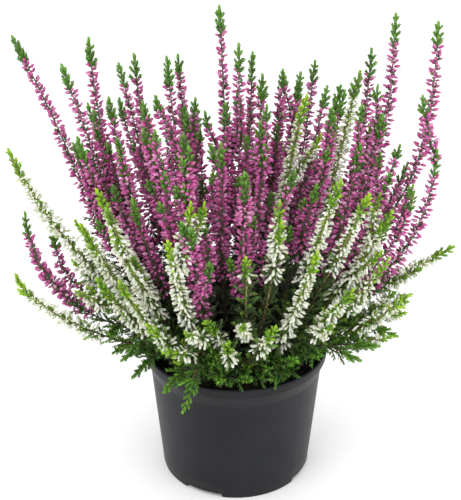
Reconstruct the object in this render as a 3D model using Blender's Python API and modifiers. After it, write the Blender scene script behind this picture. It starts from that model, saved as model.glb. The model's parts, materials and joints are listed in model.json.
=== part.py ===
"""Potted heather: a round nursery pot of peat with sprays of pink and white flowering heather.

Sizes in this script are millimetres and become metres where meshes are made. +Z is up, the
foot stands on z = 0 and the front is the -Y side. Places in the tables are taken from the pot's
axis, and the whole part is then moved so that the middle of its plan is over the origin.
"""
import bpy
import bmesh
import numpy as np

MM = 0.001
CLEARANCE = 0.35            # between separate pieces
PLAN_MIDDLE = (0.396, 13.957)   # middle of the whole part's plan, from the pot's axis

# Pot
POT_HEIGHT = 97.0
RIM_RADIUS = 65.0
RIM_BAND = 6.4              # upright part of the rim, below the lip
BODY_RADIUS = 61.0          # under the rim
BODY_TOP = 82.0
FOOT_RADIUS = 53.4
FOOT_HEIGHT = 3.8           # the floor's underside above the ground
WALL = 1.6
RIM_INSIDE = 56.0           # farther out than this a shoot has to pass over the rim
POT_STEPS = 40
NOTCH_MIDDLES = (-115.5, -25.5, 64.5, 154.5)   # drainage notches in the foot, degrees from +X
NOTCH_SPAN = 31.0
NOTCH_HEIGHT = 3.1

# Peat and stems
PEAT_TOP = 88.0
PEAT_STEPS = 28
STUB = 12.0                 # how far a stem stands in its hole
STEM = 1.5                  # stem radius at the peat
ROOT_SPACING = 10.5
ROOT_DISC = 50.0            # stems leave the peat within this radius
ROOT_SHARE = 0.36           # where a stem leaves the peat, as a share of its tip's distance from the axis
LEAFY_ROOT_SHARE = 0.56
ROOT_FAR = 46.0             # before the stems are spaced out
ROOT_RISE = 4.0             # a stem's curve starts this far above the peat
ROOT_TURNS = 300

# Tips of the shoots, one group for each spray; the first shoot of a group carries the others.
# Two more numbers say how much of its lean a tip keeps and how long its end holds it.
PINK_TIPS = (
    ((-140, 20, 315, 1.2, 0.42), (-136, -10, 206, 0.0, 0.52)),
    ((-111, 0, 300, 0.9, 0.38), (-102, -12, 256), (-123, -6, 187, -0.15, 0.62)),
    ((-101, 30, 307, 0.1, 0.5), (-82, 2, 278), (-102, 24, 232)),
    ((-77, 20, 295, 0.85, 0.38), (-59, -4, 270)),
    ((-69, 45, 294, 0.3, 0.42), (-84, 78, 252), (-50, 84, 236)),
    ((-46, 28, 297), (-30, 2, 266)),
    ((-40, 54, 291), (-29, 88, 241)),
    ((-11, 30, 330, 2.2, 0.6), (-12, -8, 276), (-34, -16, 254)),
    ((1, 10, 311), (-9, -40, 262)),
    ((11, 60, 291), (10, 98, 244)),
    ((17, 22, 287), (6, -62, 246), (18, -26, 256)),
    ((32, 48, 281), (46, 90, 250)),
    ((45, 30, 285), (38, -34, 244)),
    ((54, 60, 285), (76, 66, 262)),
    ((60, 18, 280), (72, 44, 272), (64, -6, 268)),
    ((89, 30, 302, 0.0, 0.5), (88, 2, 268), (82, -14, 254)),
    ((102, 32, 325, -0.1, 0.6), (94, -30, 238)),
    ((128, 20, 323, -0.1, 0.62), (119, 30, 221)),
    ((-74, -30, 254), (-42, -58, 250), (-66, -44, 226)),
    ((-54, -32, 262), (-34, -62, 242), (-28, -72, 222)),
    ((-106, 72, 250), (-108, 50, 206)),
    ((-42, 112, 236), (-68, 112, 196)),
    ((34, 116, 232), (62, 112, 196)),
    ((104, 78, 246), (116, 40, 198)),
    ((-6, 124, 204), (2, 116, 162)),
    ((130, -8, 246, 0.0, 0.55), (114, -14, 221, 0.3, 0.45)),
)
WHITE_TIPS = (
    ((-147, -20, 250, 0.4, 0.38), (-143, -26, 168, 0.0, 0.2), (-98, -36, 160)),
    ((-88, -48, 234), (-99, -46, 210), (-90, -52, 178)),
    ((-78, -62, 212), (-72, -72, 184)),
    ((-40, -80, 216), (-54, -84, 158)),
    ((28, -64, 220), (-20, -82, 158), (6, -80, 204)),
    ((47, 4, 278), (82, 22, 288)),
    ((66, -50, 242), (86, -45, 230), (97, -38, 216)),
    ((50, -72, 204), (74, -70, 176)),
    ((98, -42, 186), (114, -40, 156)),
    ((150, 0, 170, 0.95, 0.45), (118, -12, 132)),
    ((-8, -88, 146), (-48, -92, 124), (25, -84, 158)),
    ((-98, 72, 152), (-104, 50, 140)),
    ((92, 78, 152), (100, 52, 128)),
)
LEAFY_TIPS = (
    ((-96, -6, 130), (-81, -28, 110), (-82, -44, 128)),
    ((-76, -46, 107), (-70, -58, 104)),
    ((-38, -86, 114), (-43, -84, 110)),
    ((-10, -78, 118), (8, -76, 116), (-14, -70, 132)),
    ((40, -72, 124), (20, -72, 118)),
    ((87, -48, 114), (52, -70, 128), (96, -40, 118)),
    ((111, -18, 116), (98, 6, 118)),
    ((88, 50, 116), (60, 78, 118)),
    ((6, 98, 116), (-30, 92, 120)),
    ((-78, 58, 116), (-100, 26, 118)),
)
SPRAYS = [("%s_spray_%02d" % (kind, n + 1), kind, tips)
          for kind, groups in (("pink", PINK_TIPS), ("white", WHITE_TIPS), ("leafy", LEAFY_TIPS))
          for n, tips in enumerate(groups)]

# How each kind of shoot grows: how far its buds or leaf sprigs stand out from the stem, how far they
# point up it, the share of the shoot that flowers, and how much it straightens up towards the tip.
REACH = {"pink": 5.3, "white": 5.2, "leafy": 5.0}
POINT_UP = {"pink": 2.6, "white": -1.4, "leafy": 2.8}
FLOWER_SHARE = {"pink": 0.60, "white": 0.58, "leafy": 0.0}
END_LEAN = {"pink": 0.58, "white": 0.74, "leafy": 1.25}
LEAF_REACH = 3.9
TIP_REACH = 4.4
TIP_LENGTH = 17.0
BRANCH_RUNS = (9.0, 18.0)   # how far up the first shoot the others leave it
FLOWER_PITCH = 8.6
LEAF_PITCH = 12.5
RING_TURN = np.radians(24)

# The curve of a shoot: how far it leans at its start, for the lean of its chord, and how long its ends
# hold their direction, as shares of the chord
LEAN_GAIN, LEAN_MORE, LEAN_MOST = 1.15, 0.10, 1.10
HOLDS = {"pink": (0.36, 0.38), "white": (0.36, 0.38), "leafy": (0.40, 0.35)}
BRANCH_HOLD = 0.16

# How far a shoot stands out low down and close to its tip
LOW_REACH, LOW_GAIN, LOW_RUN = 3.6, 0.4, 80.0
POINT_REACH, POINT_RUN = 3.4, 7.0
BARE_RUN, THIN_RUN = 8.0, 20.0
BRANCH_START = 6.0          # a side shoot counts as this far up already

# Moving the shoots apart
SAMPLES = 40
SHARES = np.linspace(0.0, 1.0, SAMPLES)
TURNS = 480
PAIR_TURNS = 8              # turns between two searches for neighbours
PAIR_MARGIN = 4.0
SPACE = 1.25
POT_SPACE = 1.4
ROOT_ZONE = 0.30            # shoots of one spray may meet within this share of their length
ROOTED = 0.12               # this share of a shoot may lie close to the peat
ROOT_STEP, STEP = 0.35, 1.1
STIFFNESS = 0.35
UP = np.array([0.0, 0.0, 1.0])
LEVEL = np.array([1.0, 1.0, 0.0])

COLOURS = {
    "pot": (0.028, 0.030, 0.034), "peat": (0.030, 0.020, 0.014),
    "pink": (0.36, 0.045, 0.22), "white": (0.74, 0.76, 0.62), "leafy": (0.06, 0.16, 0.035),
}


def unit(vector):
    return vector / (np.linalg.norm(vector) + 1e-12)


def bernstein(share):
    rest = 1 - share
    return np.stack([rest ** 3, 3 * share * rest ** 2, 3 * share ** 2 * rest, share ** 3], -1)


class Shoot:
    """A shoot along a cubic curve, from the peat or from the first shoot of its spray to its tip."""

    def __init__(self, spray, kind, tip, parent=None, order=0):
        self.spray, self.kind, self.parent = spray, kind, parent
        self.tip = np.array(tip[:3], float)
        self.bend = tip[3:] or (END_LEAN[kind], HOLDS[kind][1])
        if parent is None:
            far = np.hypot(*self.tip[:2])
            pull = LEAFY_ROOT_SHARE if kind == "leafy" else min(ROOT_SHARE, ROOT_FAR / far)
            self.root_share = 0.0
            self.root = np.array([self.tip[0] * pull, self.tip[1] * pull, PEAT_TOP + ROOT_RISE])
        else:
            self.root_share = BRANCH_RUNS[order] / parent.length()
            self.root = parent.at(self.root_share)
        self.shape()

    def shape(self):
        """Leave the root leaning outward, then straighten up towards the tip."""
        chord = self.tip - self.root
        length = np.linalg.norm(chord)
        lean = np.arccos(chord[2] / length)
        out = unit(chord * LEVEL)
        start_lean = min(LEAN_GAIN * lean + LEAN_MORE, LEAN_MOST)
        end_lean = lean * self.bend[0]
        start_way = np.sin(start_lean) * out + np.cos(start_lean) * UP
        end_way = np.sin(end_lean) * out + np.cos(end_lean) * UP
        start_hold, end_hold = HOLDS[self.kind][0], self.bend[1]
        if self.parent is not None:
            aside = unit((self.tip - self.parent.tip) * LEVEL)
            start_way = unit(aside + start_way)
            start_hold = BRANCH_HOLD
        self.points = np.stack([self.root, self.root + start_way * start_hold * length,
                                self.tip - end_way * end_hold * length, self.tip])

    def at(self, share):
        return bernstein(share) @ self.points

    def length(self):
        return np.linalg.norm(np.diff(self.at(SHARES), axis=0), axis=1).sum()

    def reach(self):
        """How far the shoot stands out from its path at each sample."""
        total = self.length()
        run, left = SHARES * total, (1 - SHARES) * total
        if self.parent is not None:
            run = run + BRANCH_START
        leafy = LOW_REACH + LOW_GAIN * np.minimum(1, run / LOW_RUN)
        out = np.where(run < total * (1 - FLOWER_SHARE[self.kind]), leafy, REACH[self.kind])
        out = np.where(left < TIP_LENGTH + 3, np.minimum(out, TIP_REACH), out)
        out = np.where(left < POINT_RUN, np.minimum(out, POINT_REACH), out)
        return np.where(run < BARE_RUN, STEM + 0.1, np.where(run < THIN_RUN, STEM + 0.4, out))


def spread_roots(leads):
    """Space the stems out over the peat and shape their shoots again."""
    roots = np.array([shoot.root[:2] for shoot in leads])
    for _ in range(ROOT_TURNS):
        apart = roots[:, None] - roots[None]
        distance = np.linalg.norm(apart, axis=2) + 99 * np.eye(len(roots))
        push = np.clip(ROOT_SPACING - distance, 0, None)[..., None] * apart / distance[..., None]
        roots = roots + ROOT_STEP * push.sum(1)
        roots = roots * np.minimum(1, ROOT_DISC / np.linalg.norm(roots, axis=1, keepdims=True))
        roots = np.round(roots, 4)
    for shoot, root in zip(leads, roots):
        shoot.root[:2] = root
        shoot.shape()


def pot_push(points, reach, rooted):
    """How far each sample has to move to clear the peat and the pot's rim."""
    push = np.zeros_like(points)
    rho = np.hypot(points[:, 0], points[:, 1])
    height = points[:, 2]
    clear = reach + POT_SPACE
    low = ~rooted & (rho < RIM_INSIDE) & (height < PEAT_TOP + clear)
    push[low, 2] += (PEAT_TOP + clear - height)[low]
    rim = (rho >= RIM_INSIDE - clear) & (rho < RIM_RADIUS) & (height < POT_HEIGHT + clear)
    push[rim, 2] += (POT_HEIGHT + clear - height)[rim]
    wall = (rho >= RIM_RADIUS) & (rho < RIM_RADIUS + clear) & (height < POT_HEIGHT + 0.6 * clear)
    away = points[:, :2] / np.maximum(rho, 1e-6)[:, None]
    push[wall, :2] += (away * (RIM_RADIUS + clear - rho)[:, None])[wall]
    return push, low.astype(float) + rim + wall


def grow():
    """All shoots, bent until sprays stand clear of each other and of the pot."""
    shoots = []
    for spray, (_, kind, tips) in enumerate(SPRAYS):
        lead = Shoot(spray, kind, tips[0])
        shoots += [lead] + [Shoot(spray, kind, tip, lead, n) for n, tip in enumerate(tips[1:])]
    spread_roots([shoot for shoot in shoots if shoot.parent is None])
    for shoot in shoots:
        if shoot.parent is not None:
            shoot.root = shoot.parent.at(shoot.root_share)
            shoot.shape()
    weight = bernstein(SHARES)
    share = np.tile(SHARES, len(shoots))
    spray = np.repeat([shoot.spray for shoot in shoots], SAMPLES)
    owner = np.repeat(np.arange(len(shoots)), SAMPLES)
    reach = np.concatenate([shoot.reach() for shoot in shoots])
    near_root = share < ROOT_ZONE
    joined = (spray[:, None] == spray[None]) & (near_root[:, None] | near_root[None])
    need = reach[:, None] + reach[None] + SPACE
    seen2 = np.where(joined | (owner[:, None] == owner[None]), 0, (need + PAIR_MARGIN) ** 2).astype(np.float32)
    for turn in range(TURNS):
        points = np.concatenate([shoot.at(SHARES) for shoot in shoots])
        if turn % PAIR_TURNS == 0:      # pairs of samples that may meet within the next turns
            small = points.astype(np.float32)
            square = (small ** 2).sum(1)
            a, b = np.nonzero(square[:, None] + square[None] - 2 * small @ small.T < seen2)
            wanted = need[a, b]
        force, hits = pot_push(points, reach, share < ROOTED)
        apart = points[a] - points[b] + (1e-4, 2e-4, 0)
        distance = np.linalg.norm(apart, axis=1)
        meet = distance < wanted
        np.add.at(force, a[meet], apart[meet] * ((wanted / distance - 1) / 2)[meet, None])
        np.add.at(hits, a[meet], 1)
        force /= np.maximum(hits, 1)[:, None]
        for n, shoot in enumerate(shoots):
            mine = slice(n * SAMPLES, (n + 1) * SAMPLES)
            hit = hits[mine] > 0
            if hit.any():
                pull = weight[hit]
                move = (pull[..., None] * force[mine][hit][:, None]).sum(0)
                shoot.points[1:] += STEP * (move / (pull.sum(0)[:, None] + STIFFNESS))[1:]
        for shoot in shoots:
            if shoot.parent is not None:
                shoot.points[:2] += shoot.parent.at(shoot.root_share) - shoot.points[0]
            shoot.points = np.round(shoot.points, 4)
    return shoots


def carried_frames(path):
    """Unit tangents of a path and two unit side vectors carried along it without twist."""
    tangents = np.gradient(path, axis=0)
    tangents /= np.linalg.norm(tangents, axis=1, keepdims=True)
    side = np.cross(tangents[0], (0.31, 0.95, 0.02))
    sides = []
    for tangent in tangents:
        side = unit(side - tangent * (side @ tangent))
        sides.append(side)
    sides = np.array(sides)
    return tangents, sides, np.cross(tangents, sides)


def ring_list(shoot, total):
    """Rings up a shoot: distance, outer radius, inner radius, and how far the outer points lean up."""
    kind = shoot.kind
    flowers = total * (1 - FLOWER_SHARE[kind])
    if shoot.parent is None:
        rings = [(2.5, STEM + 0.1, STEM + 0.1, 0)]
        run = 13.0
    else:
        rings = [(0.0, 1.3, 1.3, 0), (8.0, 1.2, 1.2, 0)]
        run = 17.0
    end = total - TIP_LENGTH
    while run < end - 3:
        if run < flowers:
            rings.append((run, LEAF_REACH, 1.6, 2.6))
            run += LEAF_PITCH if run + LEAF_PITCH < flowers else max(6.0, flowers - run)
        else:
            slim = 0.86 + 0.14 * min(1, 2.2 * (total - run) / (total - flowers))
            rings.append((run, REACH[kind] * slim, 2.1, POINT_UP[kind]))
            run += FLOWER_PITCH
    return rings + [(end, TIP_REACH, 1.5, 3.2), (end + 8.5, 3.8, 1.2, 3.2)]


def loft_shoot(shoot, origin):
    """A shoot as rings of four points: two stand out as a pair of buds or sprigs, two stay at the stem.

    Every ring is turned, and the pairs alternate, so that the buds stand out all round.
    """
    path = shoot.at(np.linspace(0, 1, 240))
    runs = np.concatenate([[0], np.linalg.norm(np.diff(path, axis=0), axis=1).cumsum()])
    tangents, sides, others = carried_frames(path)

    def pick(table, run):
        return np.array([np.interp(run, runs, table[:, axis]) for axis in range(3)])

    quarters = np.arange(4) * np.pi / 2
    points = []
    if shoot.parent is None:
        for height in (PEAT_TOP - STUB, PEAT_TOP + 0.8):
            points += [np.array([shoot.points[0][0] + STEM * np.cos(q), shoot.points[0][1] + STEM * np.sin(q),
                                 height]) for q in quarters]
        start = -np.arctan2(others[0][0], sides[0][0])
    else:
        start = 0.0
    stub_rings = len(points) // 4
    for n, (run, outer, inner, lean) in enumerate(ring_list(shoot, runs[-1])):
        centre, tangent = pick(path, run), unit(pick(tangents, run))
        side, other = unit(pick(sides, run)), unit(pick(others, run))
        for k, quarter in enumerate(start + max(0, n - 2) * RING_TURN + quarters):
            stands_out = (k + n) % 2 == 0
            radius, lift = (outer, lean) if stands_out else (inner, 0)
            points.append(centre + radius * (np.cos(quarter) * side + np.sin(quarter) * other) + lift * tangent)
    rings = len(points) // 4
    points.append(pick(path, runs[-1]))
    faces = [(3, 2, 1, 0)]
    for ring in range(rings - 1):
        for k in range(4):
            a, b = 4 * ring + k, 4 * ring + (k + 1) % 4
            if ring < stub_rings or (k + ring - stub_rings) % 2 == 0:
                faces += [(a, b, a + 4), (b, b + 4, a + 4)]
            else:
                faces += [(a, b, b + 4), (a, b + 4, a + 4)]
    last = 4 * (rings - 1)
    faces += [(last + k, last + (k + 1) % 4, len(points) - 1) for k in range(4)]
    return (np.array(points) - origin) * MM, faces


def principled(name, colour, roughness):
    material = bpy.data.materials.new(name)
    material.use_nodes = True
    shader = material.node_tree.nodes["Principled BSDF"]
    shader.inputs["Base Color"].default_value = (*colour, 1)
    shader.inputs["Roughness"].default_value = roughness
    shader.inputs["Metallic"].default_value = 0.0
    material.diffuse_color = (*colour, 1)
    return material


def add_object(name, mesh, collection, location=(0, 0, 0), parent=None):
    item = bpy.data.objects.new(name, mesh)
    item.location = location
    item.parent = parent
    collection.objects.link(item)
    return item


def new_collection(name):
    collection = bpy.data.collections.new(name)
    bpy.context.scene.collection.children.link(collection)
    return collection


def turned(name, profile, steps, collection, parent):
    """A turned piece: a profile of (radius, height) from the axis, out and down, back to the axis."""
    mesh = bpy.data.meshes.new(name)
    edges = [(n, n + 1) for n in range(len(profile) - 1)]
    mesh.from_pydata([(radius * MM, 0, height * MM) for radius, height in profile], edges, [])
    item = add_object(name, mesh, collection, parent=parent)
    screw = item.modifiers.new("turn", "SCREW")
    screw.steps = screw.render_steps = steps
    screw.use_merge_vertices = True
    screw.merge_threshold = 1e-5
    screw.use_smooth_shade = True
    return item


def boolean(item, operation, tools):
    change = item.modifiers.new(operation.lower(), "BOOLEAN")
    change.operation = operation
    change.operand_type = "COLLECTION"
    change.collection = tools


def hide_tool(tool):
    tool.hide_render = True
    tool.display_type = "WIRE"


def pot_profile():
    """Half section of the pot, from the floor's upper side over the lip to the floor's underside."""
    lip = POT_HEIGHT - 1.2
    ledge = lip - RIM_BAND
    foot_inside = FOOT_RADIUS - WALL - 0.2
    floor_top = FOOT_HEIGHT + 1.8
    return ((0, floor_top), (foot_inside, floor_top + 0.4), (foot_inside + 1.1, floor_top + 1.6),
            (BODY_RADIUS - WALL, BODY_TOP + 0.4), (RIM_RADIUS - WALL - 1.0, lip),
            (RIM_RADIUS - WALL - 0.5, POT_HEIGHT), (RIM_RADIUS - 0.8, POT_HEIGHT), (RIM_RADIUS, lip),
            (RIM_RADIUS - 0.5, lip - RIM_BAND + 1.2), (RIM_RADIUS - 1.0, ledge), (BODY_RADIUS, BODY_TOP),
            (FOOT_RADIUS, 0), (foot_inside, 0), (foot_inside - 1.0, FOOT_HEIGHT), (0, FOOT_HEIGHT))


def peat_profile():
    """Half section of the peat, from the middle of its top, down the pot's wall, to its middle below."""
    floor_top = FOOT_HEIGHT + 1.8 + CLEARANCE
    foot = FOOT_RADIUS - WALL - 0.5
    return ((0, PEAT_TOP), (57.0, PEAT_TOP - 0.8), (59.7, PEAT_TOP - 2.4),
            (BODY_RADIUS - WALL - 0.5, BODY_TOP - 0.4), (foot + 0.9, floor_top + 1.7), (foot, floor_top + 0.5),
            (0, floor_top))


def build_pot(collection, cutters, parent):
    pot = turned("pot", pot_profile(), POT_STEPS, collection, parent)
    reach = FOOT_RADIUS + 8.0
    for n, middle in enumerate(NOTCH_MIDDLES):
        mesh = bpy.data.meshes.new("notch_cutter_%d" % (n + 1))
        work = bmesh.new()
        bmesh.ops.create_cube(work, size=1.0)
        width = 2 * np.tan(np.radians(NOTCH_SPAN / 2))
        for vertex in work.verts:     # a wedge that widens outward from the pot's axis
            radius = reach if vertex.co.x > 0 else FOOT_RADIUS - 6.0
            height = NOTCH_HEIGHT if vertex.co.z > 0 else -3.0
            vertex.co = np.array((radius, vertex.co.y * width * radius, height)) * MM
        work.to_mesh(mesh)
        work.free()
        tool = add_object(mesh.name, mesh, cutters, parent=parent)
        tool.rotation_euler.z = np.radians(middle)
        hide_tool(tool)
    boolean(pot, "DIFFERENCE", cutters)
    pot.data.materials.append(principled("pot_plastic", COLOURS["pot"], 0.45))
    return pot


def build_peat(collection, cutters, parent, roots):
    peat = turned("peat", peat_profile(), PEAT_STEPS, collection, parent)
    depth = STUB + CLEARANCE + 5.0
    mesh = bpy.data.meshes.new("stem_hole_cutter")
    work = bmesh.new()
    hole = (STEM + CLEARANCE * np.sqrt(2)) * MM
    bmesh.ops.create_cone(work, cap_ends=True, segments=4, radius1=hole, radius2=hole, depth=depth * MM)
    work.to_mesh(mesh)
    work.free()
    for n, root in enumerate(roots):
        place = (root[0] * MM, root[1] * MM, (PEAT_TOP + 5.0 - depth / 2) * MM)
        hide_tool(add_object("stem_hole_cutter_%02d" % (n + 1), mesh, cutters, place, parent))
    boolean(peat, "DIFFERENCE", cutters)
    peat.data.materials.append(principled("peat_soil", COLOURS["peat"], 0.95))
    return peat


def build_spray(name, kind, shoots, collection, parent, material):
    """One spray: its first shoot, with the other shoots joined on."""
    origin = np.array([*shoots[0].points[0][:2], PEAT_TOP])
    tools = new_collection(name + "_shoots")
    items = []
    for n, shoot in enumerate(shoots):
        points, faces = loft_shoot(shoot, origin)
        mesh = bpy.data.meshes.new("%s_shoot_%d" % (name, n + 1))
        mesh.from_pydata(points.tolist(), [], faces)
        items.append(add_object(mesh.name, mesh, tools if n else collection, origin * MM, parent))
    spray = items[0]
    spray.name = name
    if len(items) > 1:
        boolean(spray, "UNION", tools)
        bpy.context.view_layer.update()
        graph = bpy.context.evaluated_depsgraph_get()
        joined = bpy.data.meshes.new_from_object(spray.evaluated_get(graph))
        spray.modifiers.clear()
        spray.data = joined
        for item in items[1:]:
            bpy.data.objects.remove(item)
    spray.data.name = name
    bpy.data.collections.remove(tools)
    spray.data.materials.clear()
    spray.data.materials.append(material)
    return spray


def main():
    for item in list(bpy.data.objects):
        bpy.data.objects.remove(item)
    heather = new_collection("potted_heather")
    middle = (-PLAN_MIDDLE[0] * MM, -PLAN_MIDDLE[1] * MM, 0)
    centre = add_object("potted_heather", None, heather, middle)
    shoots = grow()
    roots = [shoot.points[0] for shoot in shoots if shoot.parent is None]
    build_pot(heather, new_collection("notch_cutters"), centre)
    build_peat(heather, new_collection("stem_hole_cutters"), centre, roots)
    materials = {kind: principled(kind + "_heather", COLOURS[kind], 0.7) for kind in REACH}
    for spray, (name, kind, _) in enumerate(SPRAYS):
        members = [shoot for shoot in shoots if shoot.spray == spray]
        build_spray(name, kind, members, heather, centre, materials[kind])


main()
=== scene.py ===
"""Potted heather, dressed: sprays of pink and white heather in a round nursery pot of peat.

Lengths here are millimetres and places are taken from the pot's axis, as in the part's source.
They become metres, with the middle of the plan over the origin, where meshes are made. The
shoots follow the same paths as the solids that they stand for: the tables of tips and the way
the shoots are moved apart are the source's own.
"""
from __future__ import annotations

import json
import logging
import math
from collections.abc import Sequence
from dataclasses import dataclass, field
from enum import Enum
from typing import NamedTuple

import bpy
import numpy as np
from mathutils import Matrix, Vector

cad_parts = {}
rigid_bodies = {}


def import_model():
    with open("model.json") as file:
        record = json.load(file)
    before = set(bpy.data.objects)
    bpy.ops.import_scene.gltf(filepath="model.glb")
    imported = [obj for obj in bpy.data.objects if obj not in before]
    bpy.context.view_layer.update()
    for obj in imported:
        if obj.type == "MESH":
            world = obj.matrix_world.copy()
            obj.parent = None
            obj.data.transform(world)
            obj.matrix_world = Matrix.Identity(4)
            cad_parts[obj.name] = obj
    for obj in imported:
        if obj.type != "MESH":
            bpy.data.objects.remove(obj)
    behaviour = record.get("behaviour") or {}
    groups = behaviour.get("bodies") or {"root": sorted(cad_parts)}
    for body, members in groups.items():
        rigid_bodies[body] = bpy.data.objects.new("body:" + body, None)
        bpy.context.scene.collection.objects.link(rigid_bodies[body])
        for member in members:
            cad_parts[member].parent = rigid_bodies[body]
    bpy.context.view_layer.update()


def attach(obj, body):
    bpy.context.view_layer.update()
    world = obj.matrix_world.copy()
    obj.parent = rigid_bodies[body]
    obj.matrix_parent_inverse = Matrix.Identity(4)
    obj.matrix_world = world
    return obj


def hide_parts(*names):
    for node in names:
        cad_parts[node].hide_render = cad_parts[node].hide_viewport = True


LOG = logging.getLogger("potted_heather")
Array = np.ndarray
Random = np.random.Generator
Colour = tuple[float, float, float]

MM = 0.001
PLAN_MIDDLE = (0.396, 13.957, 0.0)   # middle of the whole part's plan, from the pot's axis
UP = np.array([0.0, 0.0, 1.0])
LEVEL = np.array([1.0, 1.0, 0.0])
GOLDEN = math.radians(137.508)
FULL_TURN = 2 * math.pi

# Pot and peat
POT_HEIGHT = 97.0
RIM_RADIUS = 65.0
RIM_BAND = 6.4
BODY_RADIUS = 61.0
BODY_TOP = 82.0
FOOT_RADIUS = 53.4
FOOT_HEIGHT = 3.8
WALL = 1.6
RIM_INSIDE = 56.0
PEAT_TOP = 88.0
NOTCH_MIDDLES = (-115.5, -25.5, 64.5, 154.5)
NOTCH_SPAN = 31.0
NOTCH_HEIGHT = 3.1

# Tips of the shoots, one group for each spray; the first shoot of a group carries the others.
# Two more numbers say how much of its lean a tip keeps and how long its end holds it.
PINK_TIPS = (
    ((-140, 20, 315, 1.2, 0.42), (-136, -10, 206, 0.0, 0.52)),
    ((-111, 0, 300, 0.9, 0.38), (-102, -12, 256), (-123, -6, 187, -0.15, 0.62)),
    ((-101, 30, 307, 0.1, 0.5), (-82, 2, 278), (-102, 24, 232)),
    ((-77, 20, 295, 0.85, 0.38), (-59, -4, 270)),
    ((-69, 45, 294, 0.3, 0.42), (-84, 78, 252), (-50, 84, 236)),
    ((-46, 28, 297), (-30, 2, 266)),
    ((-40, 54, 291), (-29, 88, 241)),
    ((-11, 30, 330, 2.2, 0.6), (-12, -8, 276), (-34, -16, 254)),
    ((1, 10, 311), (-9, -40, 262)),
    ((11, 60, 291), (10, 98, 244)),
    ((17, 22, 287), (6, -62, 246), (18, -26, 256)),
    ((32, 48, 281), (46, 90, 250)),
    ((45, 30, 285), (38, -34, 244)),
    ((54, 60, 285), (76, 66, 262)),
    ((60, 18, 280), (72, 44, 272), (64, -6, 268)),
    ((89, 30, 302, 0.0, 0.5), (88, 2, 268), (82, -14, 254)),
    ((102, 32, 325, -0.1, 0.6), (94, -30, 238)),
    ((128, 20, 323, -0.1, 0.62), (119, 30, 221)),
    ((-74, -30, 254), (-42, -58, 250), (-66, -44, 226)),
    ((-54, -32, 262), (-34, -62, 242), (-28, -72, 222)),
    ((-106, 72, 250), (-108, 50, 206)),
    ((-42, 112, 236), (-68, 112, 196)),
    ((34, 116, 232), (62, 112, 196)),
    ((104, 78, 246), (116, 40, 198)),
    ((-6, 124, 204), (2, 116, 162)),
    ((130, -8, 246, 0.0, 0.55), (114, -14, 221, 0.3, 0.45)),
)
WHITE_TIPS = (
    ((-147, -20, 250, 0.4, 0.38), (-143, -26, 168, 0.0, 0.2), (-98, -36, 160)),
    ((-88, -48, 234), (-99, -46, 210), (-90, -52, 178)),
    ((-78, -62, 212), (-72, -72, 184)),
    ((-40, -80, 216), (-54, -84, 158)),
    ((28, -64, 220), (-20, -82, 158), (6, -80, 204)),
    ((47, 4, 278), (82, 22, 288)),
    ((66, -50, 242), (86, -45, 230), (97, -38, 216)),
    ((50, -72, 204), (74, -70, 176)),
    ((98, -42, 186), (114, -40, 156)),
    ((150, 0, 170, 0.95, 0.45), (118, -12, 132)),
    ((-8, -88, 146), (-48, -92, 124), (25, -84, 158)),
    ((-98, 72, 152), (-104, 50, 140)),
    ((92, 78, 152), (100, 52, 128)),
)
LEAFY_TIPS = (
    ((-96, -6, 130), (-81, -28, 110), (-82, -44, 128)),
    ((-76, -46, 107), (-70, -58, 104)),
    ((-38, -86, 114), (-43, -84, 110)),
    ((-10, -78, 118), (8, -76, 116), (-14, -70, 132)),
    ((40, -72, 124), (20, -72, 118)),
    ((87, -48, 114), (52, -70, 128), (96, -40, 118)),
    ((111, -18, 116), (98, 6, 118)),
    ((88, 50, 116), (60, 78, 118)),
    ((6, 98, 116), (-30, 92, 120)),
    ((-78, 58, 116), (-100, 26, 118)),
)

# Tips of short side shoots that the first shoots carry higher up, shown in front of the rest
SIDE_TIPS = {
    "pink": (
        (-58, -27, 285), (-50, -26, 288), (-75, -29, 262), (-58, -31, 268), (-49, -52, 275),
        (-56, -36, 236), (-37, -60, 242), (-47, -59, 231), (-70, -17, 205), (-32, -52, 273),
        (-29, -55, 266), (-33, -58, 260), (6, -59, 250), (-33, -75, 225), (-27, 12, 274),
        (-24, 3, 256), (-4, -50, 188), (31, 30, 288), (61, -9, 275), (79, -15, 279), (92, 12, 283),
        (19, -20, 280), (15, -25, 271), (59, -14, 250), (5, -60, 251), (45, -19, 216),
        (120, 3, 279), (92, -21, 249), (115, -17, 225), (103, -26, 256), (-20, 0, 269), (-16, -12, 251)),
    "white": (
        (-80, -62, 228), (92, -33, 226), (56, 9, 251), (94, -40, 189), (118, -6, 153),
        (-28, -64, 233), (-20, -60, 231), (27, -58, 231), (117, -20, 132), (106, -35, 122),
        (109, -20, 148), (4, -82, 158), (-32, -84, 153), (62, -72, 152), (-106, -40, 159),
        (128, -4, 158), (121, -14, 143)),
    "leafy": (),
}

# Where shoots start, how they lean and how far they stand out from their paths
STEM = 1.5
ROOT_SHARE, LEAFY_ROOT_SHARE = 0.36, 0.56
ROOT_FAR, ROOT_RISE = 46.0, 4.0
LEAN_GAIN, LEAN_MORE, LEAN_MOST = 1.15, 0.10, 1.10
BRANCH_HOLD, BRANCH_START = 0.16, 6.0
BRANCH_RUNS = (9.0, 18.0)
LOW_REACH, LOW_GAIN, LOW_RUN = 3.6, 0.4, 80.0
TIP_REACH, TIP_LENGTH, TIP_EASE = 4.4, 17.0, 3.0
POINT_REACH, POINT_RUN = 3.4, 7.0
BARE_RUN, BARE_SPARE = 8.0, 0.1
THIN_RUN, THIN_SPARE = 20.0, 0.4

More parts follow.
